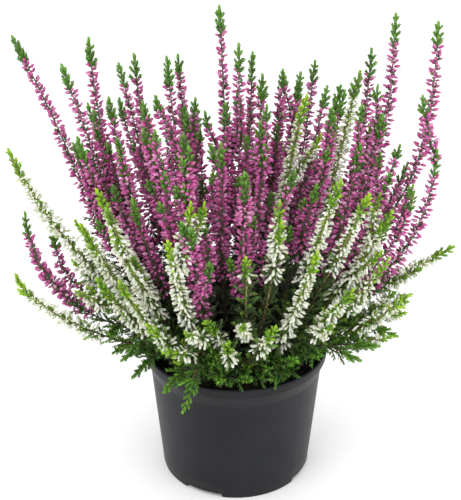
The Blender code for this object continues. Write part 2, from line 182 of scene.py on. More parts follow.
# Spacing the roots and moving the shoots apart
ROOT_SPACING, ROOT_DISC = 10.5, 50.0
ROOT_TURNS, ROOT_STEP = 300, 0.35
SELF_GAP = 99.0
SAMPLES = 40
SHARES = np.linspace(0.0, 1.0, SAMPLES)
TURNS, PAIR_TURNS = 480, 8
PAIR_MARGIN, SPACE, POT_SPACE = 4.0, 1.25, 1.4
ROOT_ZONE, ROOTED = 0.30, 0.12
STEP, STIFFNESS = 1.1, 0.35
WALL_EASE = 0.6
NUDGE = (1e-4, 2e-4, 0.0)

# The paths of side shoots, and the points of a path or of a whole shoot
SIDE_LENGTH = 42.0
SIDE_FEET = np.linspace(0.2, 0.95, 50)
SIDE_START, SIDE_PULL, SIDE_END = 8.0, 0.2, 14.0
PATH_SHARES = np.linspace(0, 1, 60)
SHOOT_SHARES = np.linspace(0, 1, 240)
FIRST_SIDE = (0.31, 0.95, 0.02)


class Kind(Enum):
    """The three kinds of shoot."""

    PINK = "pink"
    WHITE = "white"
    LEAFY = "leafy"


@dataclass(frozen=True)
class Habit:
    """How one kind of shoot grows.

    Attributes:
        reach: how far its buds or sprigs stand out from the stem.
        flower_share: the share of the shoot, at its end, that flowers.
        end_lean: how much of its lean is left at the tip.
        holds: how long its ends hold their direction, as shares of the chord.
    """

    reach: float
    flower_share: float
    end_lean: float
    holds: tuple[float, float]


HABITS = {
    Kind.PINK: Habit(5.3, 0.60, 0.58, (0.36, 0.38)),
    Kind.WHITE: Habit(5.2, 0.58, 0.74, (0.36, 0.38)),
    Kind.LEAFY: Habit(5.0, 0.0, 1.25, (0.40, 0.35)),
}


def unit(vector: Array) -> Array:
    """A vector, or each row of a table of them, at length one."""
    return vector / (np.linalg.norm(vector, axis=-1, keepdims=True) + 1e-12)


def bernstein(share: Array | float) -> Array:
    """The four weights of a cubic curve's points at a share of its length."""
    rest = 1 - share
    return np.stack([rest ** 3, 3 * share * rest ** 2, 3 * share ** 2 * rest, share ** 3], -1)


def curve(*points: Array) -> Array:
    """A path along the cubic curve of four points."""
    return bernstein(PATH_SHARES) @ np.stack(points)


def leaning(out: Array, along: Array, lean: Array) -> Array:
    """Directions that lean outward from those along a path."""
    return out * np.sin(lean) + along * np.cos(lean)


def round_angles(count: int) -> Array:
    """Angles spread evenly all the way round."""
    return np.arange(count) * 2 * math.pi / count


def turned(radius: Array, angles: Array, height: Array | float) -> Array:
    """Points at a radius, an angle and a height round the pot's axis."""
    return np.stack(np.broadcast_arrays(radius * np.cos(angles), radius * np.sin(angles), height), -1)


def capped(rings: Array, first: float, last: float) -> Array:
    """The points of rings as one list, then the two on the axis that close them."""
    return np.concatenate([rings.reshape(-1, 3), [[0, 0, first], [0, 0, last]]])


class Shoot:
    """A shoot along a cubic curve, from the peat or from its spray's first shoot to its tip."""

    def __init__(self, spray: int, kind: Kind, tip: Sequence[float],
                 parent: Shoot | None = None, order: int = 0) -> None:
        """Set the root and the curve.

        Args:
            spray: the number of the spray it belongs to.
            kind: what sort of shoot it is.
            tip: where it ends, and how it bends there if that isn't its kind's habit.
            parent: the shoot that carries it, or None for one that leaves the peat.
            order: its place among the shoots that the parent carries.
        """
        self.spray, self.kind, self.parent = spray, kind, parent
        self.tip = np.array(tip[:3], float)
        self.bend = tip[3:] or (HABITS[kind].end_lean, HABITS[kind].holds[1])
        if parent is None:
            far = np.hypot(*self.tip[:2])
            pull = LEAFY_ROOT_SHARE if kind is Kind.LEAFY else min(ROOT_SHARE, ROOT_FAR / far)
            self.root_share = 0.0
            self.root = np.array([self.tip[0] * pull, self.tip[1] * pull, PEAT_TOP + ROOT_RISE])
        else:
            self.root_share = BRANCH_RUNS[order] / parent.length()
            self.root = parent.at(self.root_share)
        self.shape()

    def shape(self) -> None:
        """Leave the root leaning outward, then straighten up towards the tip."""
        chord = self.tip - self.root
        length = np.linalg.norm(chord)
        lean = np.arccos(chord[2] / length)
        level = chord * LEVEL
        out = level / (np.linalg.norm(level) + 1e-12)
        start_way = leaning(out, UP, min(LEAN_GAIN * lean + LEAN_MORE, LEAN_MOST))
        end_way = leaning(out, UP, lean * self.bend[0])
        start_hold, end_hold = HABITS[self.kind].holds[0], self.bend[1]
        if self.parent is not None:
            aside = unit((self.tip - self.parent.tip) * LEVEL)
            start_way = unit(aside + start_way)
            start_hold = BRANCH_HOLD
        self.points = np.stack([self.root, self.root + start_way * start_hold * length,
                                self.tip - end_way * end_hold * length, self.tip])

    def at(self, share: Array | float) -> Array:
        """The point or points of the curve at a share of it."""
        return bernstein(share) @ self.points

    def length(self) -> float:
        """The length of the curve."""
        return np.linalg.norm(np.diff(self.at(SHARES), axis=0), axis=1).sum()

    def reach(self) -> Array:
        """Measure the room that the shoot needs round its path.

        Returns:
            How far it stands out at each sample.
        """
        habit = HABITS[self.kind]
        total = self.length()
        run, left = SHARES * total, (1 - SHARES) * total
        if self.parent is not None:
            run = run + BRANCH_START
        leafy = LOW_REACH + LOW_GAIN * np.minimum(1, run / LOW_RUN)
        out = np.where(run < total * (1 - habit.flower_share), leafy, habit.reach)
        out = np.where(left < TIP_LENGTH + TIP_EASE, np.minimum(out, TIP_REACH), out)
        out = np.where(left < POINT_RUN, np.minimum(out, POINT_REACH), out)
        out = np.where(run < THIN_RUN, STEM + THIN_SPARE, out)
        return np.where(run < BARE_RUN, STEM + BARE_SPARE, out)


class Layout:
    """Every spray's shoots, bent until the sprays stand clear of each other and of the pot."""

    def __init__(self) -> None:
        """List the sprays and grow their shoots."""
        groups = ((Kind.PINK, PINK_TIPS), (Kind.WHITE, WHITE_TIPS), (Kind.LEAFY, LEAFY_TIPS))
        self.sprays = [(f"{kind.value}_spray_{n + 1:02d}", kind, tips)
                       for kind, tables in groups for n, tips in enumerate(tables)]
        self.shoots = self.grow()

    def members(self, spray: int) -> list[Shoot]:
        """The shoots of one spray, its first shoot first."""
        return [shoot for shoot in self.shoots if shoot.spray == spray]

    def side_paths(self) -> dict[int, list[Array]]:
        """Give each side tip to the shoot of its kind that passes closest below it.

        Returns:
            The paths of the side shoots, by the number of the spray that carries them.
        """
        paths: dict[int, list[Array]] = {}
        for kind in Kind:
            carriers = [shoot for shoot in self.shoots if shoot.kind is kind]
            for tip in np.array(SIDE_TIPS[kind.value], float).reshape(-1, 3):
                found = []
                for shoot in carriers:
                    feet = shoot.at(SIDE_FEET)
                    ways = unit(np.gradient(feet, axis=0))
                    miss = np.linalg.norm(tip - feet - ways * SIDE_LENGTH, axis=1)
                    at = int(miss.argmin())
                    found.append((miss[at], shoot.spray, feet[at], ways[at]))
                _, spray, foot, way = min(found, key=lambda one: one[0])
                path = curve(foot, foot + way * SIDE_START + (tip - foot) * SIDE_PULL,
                             tip - way * SIDE_END, tip)
                paths.setdefault(spray, []).append(path)
        return paths

    def grow(self) -> list[Shoot]:
        """Make the shoots, space their roots and move them apart.

        Returns:
            All shoots, spray after spray.
        """
        shoots: list[Shoot] = []
        for spray, (_, kind, tips) in enumerate(self.sprays):
            lead = Shoot(spray, kind, tips[0])
            shoots += [lead] + [Shoot(spray, kind, tip, lead, n) for n, tip in enumerate(tips[1:])]
        self.spread_roots([shoot for shoot in shoots if shoot.parent is None])
        for shoot in shoots:
            if shoot.parent is not None:
                shoot.root = shoot.parent.at(shoot.root_share)
                shoot.shape()
        self.part(shoots)
        return shoots

    @staticmethod
    def spread_roots(leads: Sequence[Shoot]) -> None:
        """Space the stems out over the peat and shape their shoots again.

        Args:
            leads: the first shoot of each spray.
        """
        roots = np.array([shoot.root[:2] for shoot in leads])
        for _ in range(ROOT_TURNS):
            apart = roots[:, None] - roots[None]
            distance = np.linalg.norm(apart, axis=2) + SELF_GAP * np.eye(len(roots))
            push = np.clip(ROOT_SPACING - distance, 0, None)[..., None] * apart / distance[..., None]
            roots = roots + ROOT_STEP * push.sum(1)
            roots = roots * np.minimum(1, ROOT_DISC / np.linalg.norm(roots, axis=1, keepdims=True))
            roots = np.round(roots, 4)
        for shoot, root in zip(leads, roots):
            shoot.root[:2] = root
            shoot.shape()

    @staticmethod
    def pot_push(points: Array, reach: Array, rooted: Array) -> tuple[Array, Array]:
        """How far each sample has to move to clear the peat and the pot's rim.

        Args:
            points: the samples of every shoot.
            reach: how far the shoot stands out at each.
            rooted: which samples may lie close to the peat.

        Returns:
            The push on each sample, and how many pushes it is made of.
        """
        push = np.zeros_like(points)
        rho = np.hypot(points[:, 0], points[:, 1])
        height = points[:, 2]
        clear = reach + POT_SPACE
        low = ~rooted & (rho < RIM_INSIDE) & (height < PEAT_TOP + clear)
        push[low, 2] += (PEAT_TOP + clear - height)[low]
        rim = (rho >= RIM_INSIDE - clear) & (rho < RIM_RADIUS) & (height < POT_HEIGHT + clear)
        push[rim, 2] += (POT_HEIGHT + clear - height)[rim]
        beside = (rho >= RIM_RADIUS) & (rho < RIM_RADIUS + clear)
        wall = beside & (height < POT_HEIGHT + WALL_EASE * clear)
        away = points[:, :2] / np.maximum(rho, 1e-6)[:, None]
        push[wall, :2] += (away * (RIM_RADIUS + clear - rho)[:, None])[wall]
        return push, low.astype(float) + rim + wall

    def part(self, shoots: Sequence[Shoot]) -> None:
        """Move the shoots apart, in the source's own order of sums.

        Args:
            shoots: all shoots, spray after spray.
        """
        weight = bernstein(SHARES)
        share = np.tile(SHARES, len(shoots))
        spray = np.repeat([shoot.spray for shoot in shoots], SAMPLES)
        owner = np.repeat(np.arange(len(shoots)), SAMPLES)
        reach = np.concatenate([shoot.reach() for shoot in shoots])
        near_root = share < ROOT_ZONE
        joint = (spray[:, None] == spray[None]) & (near_root[:, None] | near_root[None])
        need = reach[:, None] + reach[None] + SPACE
        seen = np.where(joint | (owner[:, None] == owner[None]), 0,
                        (need + PAIR_MARGIN) ** 2).astype(np.float32)
        for turn in range(TURNS):
            points = np.concatenate([shoot.at(SHARES) for shoot in shoots])
            if turn % PAIR_TURNS == 0:
                small = points.astype(np.float32)
                square = (small ** 2).sum(1)
                a, b = np.nonzero(square[:, None] + square[None] - 2 * small @ small.T < seen)
                wanted = need[a, b]
            force, hits = self.pot_push(points, reach, share < ROOTED)
            apart = points[a] - points[b] + NUDGE
            distance = np.linalg.norm(apart, axis=1)
            meet = distance < wanted
            np.add.at(force, a[meet], apart[meet] * ((wanted / distance - 1) / 2)[meet, None])
            np.add.at(hits, a[meet], 1)
            force /= np.maximum(hits, 1)[:, None]
            for n, shoot in enumerate(shoots):
                mine = slice(n * SAMPLES, (n + 1) * SAMPLES)
                hit = hits[mine] > 0
                if hit.any():
                    pull = weight[hit]
                    move = (pull[..., None] * force[mine][hit][:, None]).sum(0)
                    shoot.points[1:] += STEP * (move / (pull.sum(0)[:, None] + STIFFNESS))[1:]
            for shoot in shoots:
                if shoot.parent is not None:
                    shoot.points[:2] += shoot.parent.at(shoot.root_share) - shoot.points[0]
                shoot.points = np.round(shoot.points, 4)


class Spots(NamedTuple):
    """Places on a path, with the unit directions there: along it, and two square to it."""

    at: Array
    along: Array
    side: Array
    other: Array

    def out(self, turn: Array | float) -> Array:
        """Directions square to the path, at turns round it."""
        return np.cos(turn)[..., None] * self.side + np.sin(turn)[..., None] * self.other


class Way:
    """A path with directions carried along it without twist, read at any run along it."""

    def __init__(self, path: Array) -> None:
        """Measure the path.

        Args:
            path: points along it, close together.
        """
        steps = np.linalg.norm(np.diff(path, axis=0), axis=1)
        self.runs = np.concatenate([[0.0], steps.cumsum()])
        self.total = float(self.runs[-1])
        tangents = unit(np.gradient(path, axis=0))
        side = np.cross(tangents[0], FIRST_SIDE)
        sides = []
        for tangent in tangents:
            side = unit(side - tangent * (side @ tangent))
            sides.append(side)
        self.tables = (path, tangents, np.array(sides))

    def read(self, run: Array) -> Spots:
        """Find the places at distances along the path.

        Args:
            run: the distances.

        Returns:
            The places.
        """
        at, along, side = (np.stack([np.interp(run, self.runs, table[:, axis]) for axis in range(3)], -1)
                           for table in self.tables)
        along = unit(along)
        side = unit(side - along * (side * along).sum(-1, keepdims=True))
        return Spots(at, along, side, np.cross(along, side))


# A form's share of its part of a joined form and of its own cell, and the margins round it
PART_SHARE, PART_EDGE = 0.9, 0.05
CELL_SHARE, CELL_EDGE = 0.86, 0.07
MAP_GROWTH = 1.02
LEAF_WIDEST = 0.42
TUBE_START, TUBE_END, TUBE_CELL = 0.5, 0.8, 12.0


@dataclass(frozen=True)
class Stamp:
    """A small form that is set down many times, with z along it from base to tip.

    Attributes:
        points: its points.
        corners: point numbers, face after face.
        sizes: the number of corners of each face.
        spots: each corner's place in the form's own cell of the map, from 0 to 1.
        along: how far along the form each point lies, from 0 to 1.
        cell: the width and height of its cell.
    """

    points: Array
    corners: Array
    sizes: Array
    spots: Array
    along: Array
    cell: tuple[float, float]


def ring_faces(rings: int, sides: int) -> tuple[Array, Array, Array]:
    """Faces of a form made of rings, each end closed by a point.

    Args:
        rings: the number of rings.
        sides: the points of a ring.

    Returns:
        Point numbers face after face, the corners of each face, and each corner's place in the map.
        The closing points are numbered after the rings, base first.
    """
    corners: list[int] = []
    sizes: list[int] = []
    spots: list[tuple[float, float]] = []
    rows = rings + 1
    last = (rings - 1) * sides
    for k in range(sides):
        after = (k + 1) % sides
        left, right, middle = k / sides, (k + 1) / sides, (k + 0.5) / sides
        corners += [rings * sides, after, k]
        sizes.append(3)
        spots += [(middle, 0.0), (right, 1 / rows), (left, 1 / rows)]
        for ring in range(rings - 1):
            base, top = ring * sides, (ring + 1) * sides
            low, high = (ring + 1) / rows, (ring + 2) / rows
            corners += [base + k, base + after, top + after, top + k]
            sizes.append(4)
            spots += [(left, low), (right, low), (right, high), (left, high)]
        corners += [last + k, last + after, rings * sides + 1]
        sizes.append(3)
        spots += [(left, rings / rows), (right, rings / rows), (middle, 1.0)]
    return np.array(corners), np.array(sizes), np.array(spots)


def spindle(heights: Sequence[float], radii: Sequence[float], sides: int, cell: tuple[float, float],
            lobes: Sequence[float] = (), flat: float = 1.0) -> Stamp:
    """A closed form of rings that starts and ends in a point.

    Args:
        heights: the heights of the base point, the rings and the tip point.
        radii: the radius of each ring.
        sides: the points of a ring.
        cell: the width and height of its cell in the map.
        lobes: how far every second point of each ring is drawn in, as a share of the radius.
        flat: how thick the form is through x, as a share of its width.

    Returns:
        The form.
    """
    angles = round_angles(sides)
    second = np.arange(sides) % 2 == 1
    rings = []
    for radius, height, lobe in zip(radii, heights[1:], lobes or (0.0,) * len(radii)):
        drawn = radius * np.where(second, 1 - lobe, 1.0)
        rings.append(np.stack([drawn * np.cos(angles) * flat, drawn * np.sin(angles),
                               np.full(sides, height)], -1))
    points = capped(np.array(rings), heights[0], heights[-1])
    along = (points[:, 2] - heights[0]) / (heights[-1] - heights[0])
    return Stamp(points, *ring_faces(len(radii), sides), along, cell)


def joined(parts: Sequence[tuple[Stamp, Array]], cell: tuple[float, float]) -> Stamp:
    """Several forms as one, each in its own part of the cell.

    Args:
        parts: each form with a 3 by 4 matrix that places it.
        cell: the width and height of one part of the cell.

    Returns:
        The form.
    """
    columns = math.ceil(math.sqrt(len(parts)))
    points, corners, sizes, spots = [], [], [], []
    count = 0
    for n, (part, matrix) in enumerate(parts):
        points.append(part.points @ matrix[:, :3].T + matrix[:, 3])
        corners.append(part.corners + count)
        sizes.append(part.sizes)
        spots.append((part.spots * PART_SHARE + PART_EDGE + (n % columns, n // columns)) / columns)
        count += len(part.points)
    everything = np.concatenate(points)
    low, high = everything[:, 2].min(), everything[:, 2].max()
    return Stamp(everything, np.concatenate(corners), np.concatenate(sizes), np.concatenate(spots),
                 (everything[:, 2] - low) / (high - low), (cell[0] * columns, cell[1] * columns))


def leaf_stamp(broad: float, fold: float, bow: float = 0.0) -> Stamp:
    """A leaf of length one: two halves folded along its middle, broad across y.

    Args:
        broad: its width as a share of its length.
        fold: how far its edges stand behind its middle, as a share of its length.
        bow: how far its tip bends towards -x.

    Returns:
        The leaf.
    """
    points = np.array([[0, 0, 0], [-fold, broad / 2, LEAF_WIDEST], [-fold, -broad / 2, LEAF_WIDEST],
                       [-bow, 0, 1.0]])
    spots = np.array([[0.5, 0], [1, 0.4], [0.5, 1], [0.5, 0], [0.5, 1], [0, 0.4]])
    return Stamp(points, np.array([0, 1, 3, 0, 3, 2]), np.full(2, 3), spots, points[:, 2].copy(), (5, 5))


def placing(at: Array, x: Array, z: Array, size: float) -> Array:
    """Place a form at a point.

    Args:
        at: the point.
        x: roughly where the form's x points.
        z: where its z points.
        size: its scale.

    Returns:
        The 3 by 4 matrix that does it.
    """
    z = unit(z)
    x = unit(x - z * (x @ z))
    return np.column_stack([x * size, np.cross(z, x) * size, z * size, at])


@dataclass(frozen=True)
class Sprig:
    """A side sprig: a core with pairs of leaves, each pair crossing the last.

    Attributes:
        length: how long the sprig is.
        core: the radius of the core low down and high up.
        sides: the sides of the core.
        pitch: the distance between two pairs.
        leaf: the form of a leaf.
        leaf_length: how long a leaf is.
        spread: how far the leaves stand off the core, in degrees.
        bend: how far the sprig's end curves towards +x.
        rings: where the core's rings and its end lie, as shares of the length.
        point: the radius of the core's ends.
        first: how high the first pair stands.
        bare: the share of a leaf's length that is left free at the end.
        sunk: how far out on the core the leaves start, as a share of its radius.
        opening: the gain in spread at the foot, and what is lost of it towards the end.
        shrink: how much shorter the last leaves are.
        uneven: how much the length of the pairs differs, to either side.
        cell: the width and height of a leaf's part of the map.
    """

    length: float
    core: tuple[float, float]
    sides: int
    pitch: float
    leaf: Stamp
    leaf_length: float
    spread: float
    bend: float
    rings: tuple[float, float, float] = (0.16, 0.78, 0.96)
    point: float = 0.1
    first: float = 0.3
    bare: float = 0.8
    sunk: float = 0.85
    opening: tuple[float, float] = (1.1, 0.45)
    shrink: float = 0.15
    uneven: float = 0.05
    cell: tuple[float, float] = (6.0, 5.0)

    def stamp(self) -> Stamp:
        """Make the sprig.

        Returns:
            Its form.
        """
        low, high, end = self.rings
        length, core = self.length, self.core
        middle = spindle((0, length * low, length * high, length * end), core, self.sides, (10, 8))
        middle.points[:, 0] += self.bend * (middle.points[:, 2] / length) ** 2
        parts = [(middle, np.eye(3, 4))]
        for n in range(int((length - self.leaf_length * self.bare) / self.pitch) + 1):
            height = self.first + n * self.pitch
            share = height / length
            lean = math.radians(self.spread * (self.opening[0] - self.opening[1] * share))
            uneven = 1 + self.uneven if n % 2 else 1 - self.uneven
            size = self.leaf_length * (1.0 - self.shrink * share ** 2) * uneven
            widths = (self.point, core[0], core[1], self.point)
            radius = self.sunk * float(np.interp(share, (0, low, high, 1.0), widths))
            for turn in (0.0, math.pi):
                around = turn + (math.pi / 2 if n % 2 else 0.0) + math.pi / 4
                out = np.array([math.cos(around), math.sin(around), 0.0])
                at = out * radius + (self.bend * share ** 2, 0, height)
                way = out * math.sin(lean) + UP * math.cos(lean)
                parts.append((self.leaf, placing(at, out, way, size)))
        return joined(parts, self.cell)


@dataclass
class Batch:
    """Copies of one form, ready for a mesh.

    Attributes:
        points: the points of every copy, as copies by points by 3.
        stamp: the form.
        tints: a number from 0 to 1 for each copy.
        finish: the number of the material.
    """

    points: Array
    stamp: Stamp
    tints: Array
    finish: int


class Pool:
    """Gathers forms and tubes for one piece, and makes its mesh with a map and two attributes."""

    def __init__(self) -> None:
        """Start empty."""
        self.batches: list[Batch] = []

    def set_down(self, stamp: Stamp, at: Array, facing: Array, pointing: Array, sizes: Array,
                 tints: Array, finish: int) -> None:
        """Set copies of a form down.

        Args:
            stamp: the form.
            at: where the base of each copy lies.
            facing: roughly where each copy's x points.
            pointing: where each copy's z points.
            sizes: the scale of each copy, or its scales along x, y and z.
            tints: a number from 0 to 1 for each copy.
            finish: the number of the material.
        """
        if not len(at):
            return
        z = unit(pointing)
        x = unit(facing - z * (facing * z).sum(-1, keepdims=True))
        frames = np.stack([x, np.cross(z, x), z], 1)
        scaled = stamp.points[None] * sizes.reshape(len(at), 1, -1)
        points = at[:, None] + np.einsum("npj,njk->npk", scaled, frames)
        self.batches.append(Batch(points, stamp, np.asarray(tints, float), finish))

    def tube(self, path: Array, radii: Array, sides: int, tint: float, finish: int) -> None:
        """Lay a tapering tube along a path, its ends closed by a point.

        Args:
            path: the middle of each ring.
            radii: the radius of each ring.
            sides: the points of a ring.
            tint: a number from 0 to 1.
            finish: the number of the material.
        """
        way = Way(path)
        spots = way.read(way.runs)
        angles = round_angles(sides)[None, :, None]
        around = np.cos(angles) * spots.side[:, None] + np.sin(angles) * spots.other[:, None]
        rings = spots.at[:, None] + np.asarray(radii)[:, None, None] * around
        ends = [spots.at[0] - spots.along[0] * radii[0] * TUBE_START,
                spots.at[-1] + spots.along[-1] * radii[-1] * TUBE_END]
        corners, sizes, places = ring_faces(len(path), sides)
        along = np.concatenate([np.repeat(way.runs / way.total, sides), [0.0, 1.0]])
        stamp = Stamp(np.concatenate([rings.reshape(-1, 3), ends]), corners, sizes,
                      places[:, ::-1].copy(), along, (max(TUBE_CELL, way.total), TUBE_CELL))
        self.batches.append(Batch(stamp.points[None], stamp, np.array([tint]), finish))

    def cells(self) -> tuple[list[Array], float]:
        """Give each copy a cell of a square map, row by row.

        Returns:
            The lower corners of each batch's cells, and the side of the square.
        """
        order = sorted(range(len(self.batches)), key=lambda n: -self.batches[n].stamp.cell[1])
        area = sum(len(one.tints) * one.stamp.cell[0] * one.stamp.cell[1] for one in self.batches)
        side = max(math.sqrt(area), max(one.stamp.cell[0] for one in self.batches))
        while True:
            corners: list[Array] = [np.zeros((0, 2))] * len(self.batches)
            x = y = row = 0.0
            for n in order:
                width, height = self.batches[n].stamp.cell
                spots = []
                for _ in self.batches[n].tints:
                    if x + width > side:
                        x, y, row = 0.0, y + row, 0.0
                    spots.append((x, y))
                    x += width
                    row = max(row, height)
                corners[n] = np.array(spots)
            if y + row <= side:
                return corners, side
            side *= MAP_GROWTH

    def piece(self, name: str, materials: Sequence[bpy.types.Material]) -> bpy.types.Object:
        """Make the mesh and its object.

        Args:
            name: the piece's name.
            materials: the materials that the finishes number.

        Returns:
            The object, in the scene.
        """
        rows = []
        count = 0
        cells, side = self.cells()
        for batch, lower in zip(self.batches, cells):
            stamp, copies = batch.stamp, len(batch.tints)
            per = len(stamp.points)
            base = count + np.arange(copies)[:, None] * per
            inner = (stamp.spots * CELL_SHARE + CELL_EDGE) * stamp.cell
            rows.append((batch.points.reshape(-1, 3), (base + stamp.corners[None]).ravel(),
                         np.tile(stamp.sizes, copies),
                         np.full(copies * len(stamp.sizes), batch.finish),
                         ((lower[:, None] + inner[None]) / side).reshape(-1, 2),
                         np.repeat(batch.tints, per), np.tile(stamp.along, copies)))
            count += copies * per
        points, corners, sizes, finishes, spots, tint, along = (
            np.concatenate(column) for column in zip(*rows))
        return mesh_piece(name, points, corners, sizes, materials, finishes, spots,
                          {"tint": tint, "along": along})


def mesh_piece(name: str, points: Array, corners: Array, sizes: Array,
               materials: Sequence[bpy.types.Material], finishes: Array | None = None,
               spots: Array | None = None, values: dict[str, Array] | None = None) -> bpy.types.Object:
    """Make a smooth mesh object from arrays, in metres and in the row frame.

    Args:
        name: the piece's name.
        points: its points, in millimetres from the pot's axis.
        corners: point numbers, face after face.
        sizes: the corners of each face.
        materials: its materials.
        finishes: the material number of each face.
        spots: each corner's place in the map.
        values: numbers for each point, by name.

    Returns:
        The object, in the scene.
    """
    mesh = bpy.data.meshes.new(name)
    starts = np.concatenate([[0], np.cumsum(sizes)[:-1]])
    mesh.vertices.add(len(points))
    mesh.vertices.foreach_set("co", ((points - PLAN_MIDDLE) * MM).astype(np.float32).ravel())
    mesh.loops.add(len(corners))
    mesh.loops.foreach_set("vertex_index", corners.astype(np.int32))
    mesh.polygons.add(len(sizes))
    mesh.polygons.foreach_set("loop_start", starts.astype(np.int32))
    mesh.polygons.foreach_set("use_smooth", np.ones(len(sizes), bool))
    if finishes is not None:
        mesh.polygons.foreach_set("material_index", finishes.astype(np.int32))
    for material in materials:
        mesh.materials.append(material)
    if spots is not None:
        layer = mesh.uv_layers.new(name="OFBake")
        layer.data.foreach_set("uv", spots.astype(np.float32).ravel())
    for key, numbers in (values or {}).items():
        attribute = mesh.attributes.new(key, "FLOAT", "POINT")
        attribute.data.foreach_set("value", numbers.astype(np.float32))
    mesh.update(calc_edges=True)
    mesh.validate()
    item = bpy.data.objects.new(name, mesh)
    bpy.context.scene.collection.objects.link(item)
    return item


class Value:
    """A shader socket that takes part in sums."""

    def __init__(self, nodes: Nodes, socket: bpy.types.NodeSocket) -> None:
        """Keep the socket and the tree it belongs to."""
        self.nodes, self.socket = nodes, socket

    def maths(self, operation: str, first: Value | float, second: Value | float) -> Value:
        """The result of a Math node on two values."""
        return self.nodes.add("ShaderNodeMath", {"operation": operation}, {0: first, 1: second})

    def __add__(self, other: Value | float) -> Value:
        """The sum."""
        return self.maths("ADD", self, other)

    def __mul__(self, other: Value | float) -> Value:
        """The product."""
        return self.maths("MULTIPLY", self, other)

    def __sub__(self, other: Value | float) -> Value:
        """The difference."""
        return self.maths("SUBTRACT", self, other)

    def __rsub__(self, other: Value | float) -> Value:
        """The difference from a number."""
        return self.maths("SUBTRACT", other, self)

    __radd__, __rmul__ = __add__, __mul__

    def eased(self, low: float, high: float) -> Value:
        """This value from 0 at low to 1 at high, eased at both ends."""
        return self.nodes.add("ShaderNodeMapRange", {"interpolation_type": "SMOOTHSTEP"},
                              {"Value": self, "From Min": low, "From Max": high})


class Nodes:
    """The node tree of one material, with its main shader."""

    def __init__(self, name: str, roughness: float, **shared: float) -> None:
        """Make the material.

        Args:
            name: its name.
            roughness: its roughness where nothing is linked.
            shared: other values that are the same all over, by socket name with _ for spaces.
        """
        self.material = bpy.data.materials.new(name)
        self.material.use_nodes = True
        self.tree = self.material.node_tree
        self.shader = self.tree.nodes["Principled BSDF"]
        self.shader.inputs["Roughness"].default_value = roughness
        for key, number in shared.items():
            self.shader.inputs[key.replace("_", " ")].default_value = number

    def add(self, kind: str, settings: dict[str, object] | None = None,
            values: dict[str | int, object] | None = None, out: str | int = 0) -> Value:
        """Add a node.

        Args:
            kind: its type.
            settings: its properties, set first; a ramp's stops go under "stops".
            values: numbers, colours or sockets for its inputs.
            out: which output is wanted.

        Returns:
            The output.
        """
        node = self.tree.nodes.new(kind)
        for key, setting in (settings or {}).items():
            if key == "stops":
                self.set_stops(node.color_ramp.elements, setting)
            else:
                setattr(node, key, setting)
        for key, value in (values or {}).items():
            self.feed(node.inputs[key], value)
        return Value(self, node.outputs[out])

    @staticmethod
    def set_stops(elements: bpy.types.ColorRampElements, stops: Sequence[tuple[float, Colour]]) -> None:
        """Set a ramp's places and colours.

        Args:
            elements: the new ramp's own two stops.
            stops: the places from 0 to 1 and their colours, in order.
        """
        while len(elements) < len(stops):
            elements.new(0.5)
        for element, (at, colour) in zip(elements, stops):
            element.position = at
            element.color = (*colour, 1.0)

    def feed(self, socket: bpy.types.NodeSocket, value: object) -> None:
        """Link a socket to a value's node, or set its own value.

        Args:
            socket: the socket.
            value: a value, a number or a colour.
        """
        if isinstance(value, Value):
            self.tree.links.new(value.socket, socket)
        elif socket.type == "RGBA":
            socket.default_value = (*value, 1.0)
        else:
            socket.default_value = value

    def place(self) -> Value:
        """Places on the object, in metres."""
        return self.add("ShaderNodeTexCoord", out="Object")

    def drawn_out(self, share: float) -> Value:
        """Places whose heights count only for a share, so that noise there runs up and down."""
        return self.add("ShaderNodeVectorMath", {"operation": "MULTIPLY"},
                        {0: self.place(), 1: (1.0, 1.0, share)})

    def noise(self, scale: float, detail: float, roughness: float = 0.55,
              place: Value | None = None) -> Value:
        """Noise from 0 to 1.

        Args:
            scale: how many of its features make up a metre.
            detail: how many finer layers it has.
            roughness: how strong those are.
            place: where it is read, or None for the place on the object.

        Returns:
            The noise.
        """
        return self.add("ShaderNodeTexNoise", {}, {"Vector": place or self.place(), "Scale": scale,
                                                   "Detail": detail, "Roughness": roughness})

    def attribute(self, name: str) -> Value:
        """A number of the mesh's own."""
        return self.add("ShaderNodeAttribute", {"attribute_name": name}, out="Fac")

    def mixed(self, share: Value | float, first: Value | Colour, second: Value | Colour) -> Value:
        """Two colours mixed, by the share of the second."""
        return self.add("ShaderNodeMix", {"data_type": "RGBA"}, {0: share, 6: first, 7: second}, 2)

    def ramp(self, share: Value, *stops: tuple[float, Colour]) -> Value:
        """A run of colours along a share."""
        return self.add("ShaderNodeValToRGB", {"stops": stops}, {0: share})

    def bump(self, height: Value, distance: float, strength: float) -> None:
        """Let a height times the distance, in metres, stand out of the surface."""
        values = {"Height": height, "Distance": distance, "Strength": strength}
        self.feed(self.shader.inputs["Normal"], self.add("ShaderNodeBump", {}, values, "Normal"))

    def dress(self, colour: Value, roughness: Value | None = None) -> bpy.types.Material:
        """Link what varies over the surface.

        Args:
            colour: the colour.
            roughness: the roughness, if it varies.

        Returns:
            The material.
        """
        self.feed(self.shader.inputs["Base Color"], colour)
        if roughness is not None:
            self.feed(self.shader.inputs["Roughness"], roughness)
        return self.material


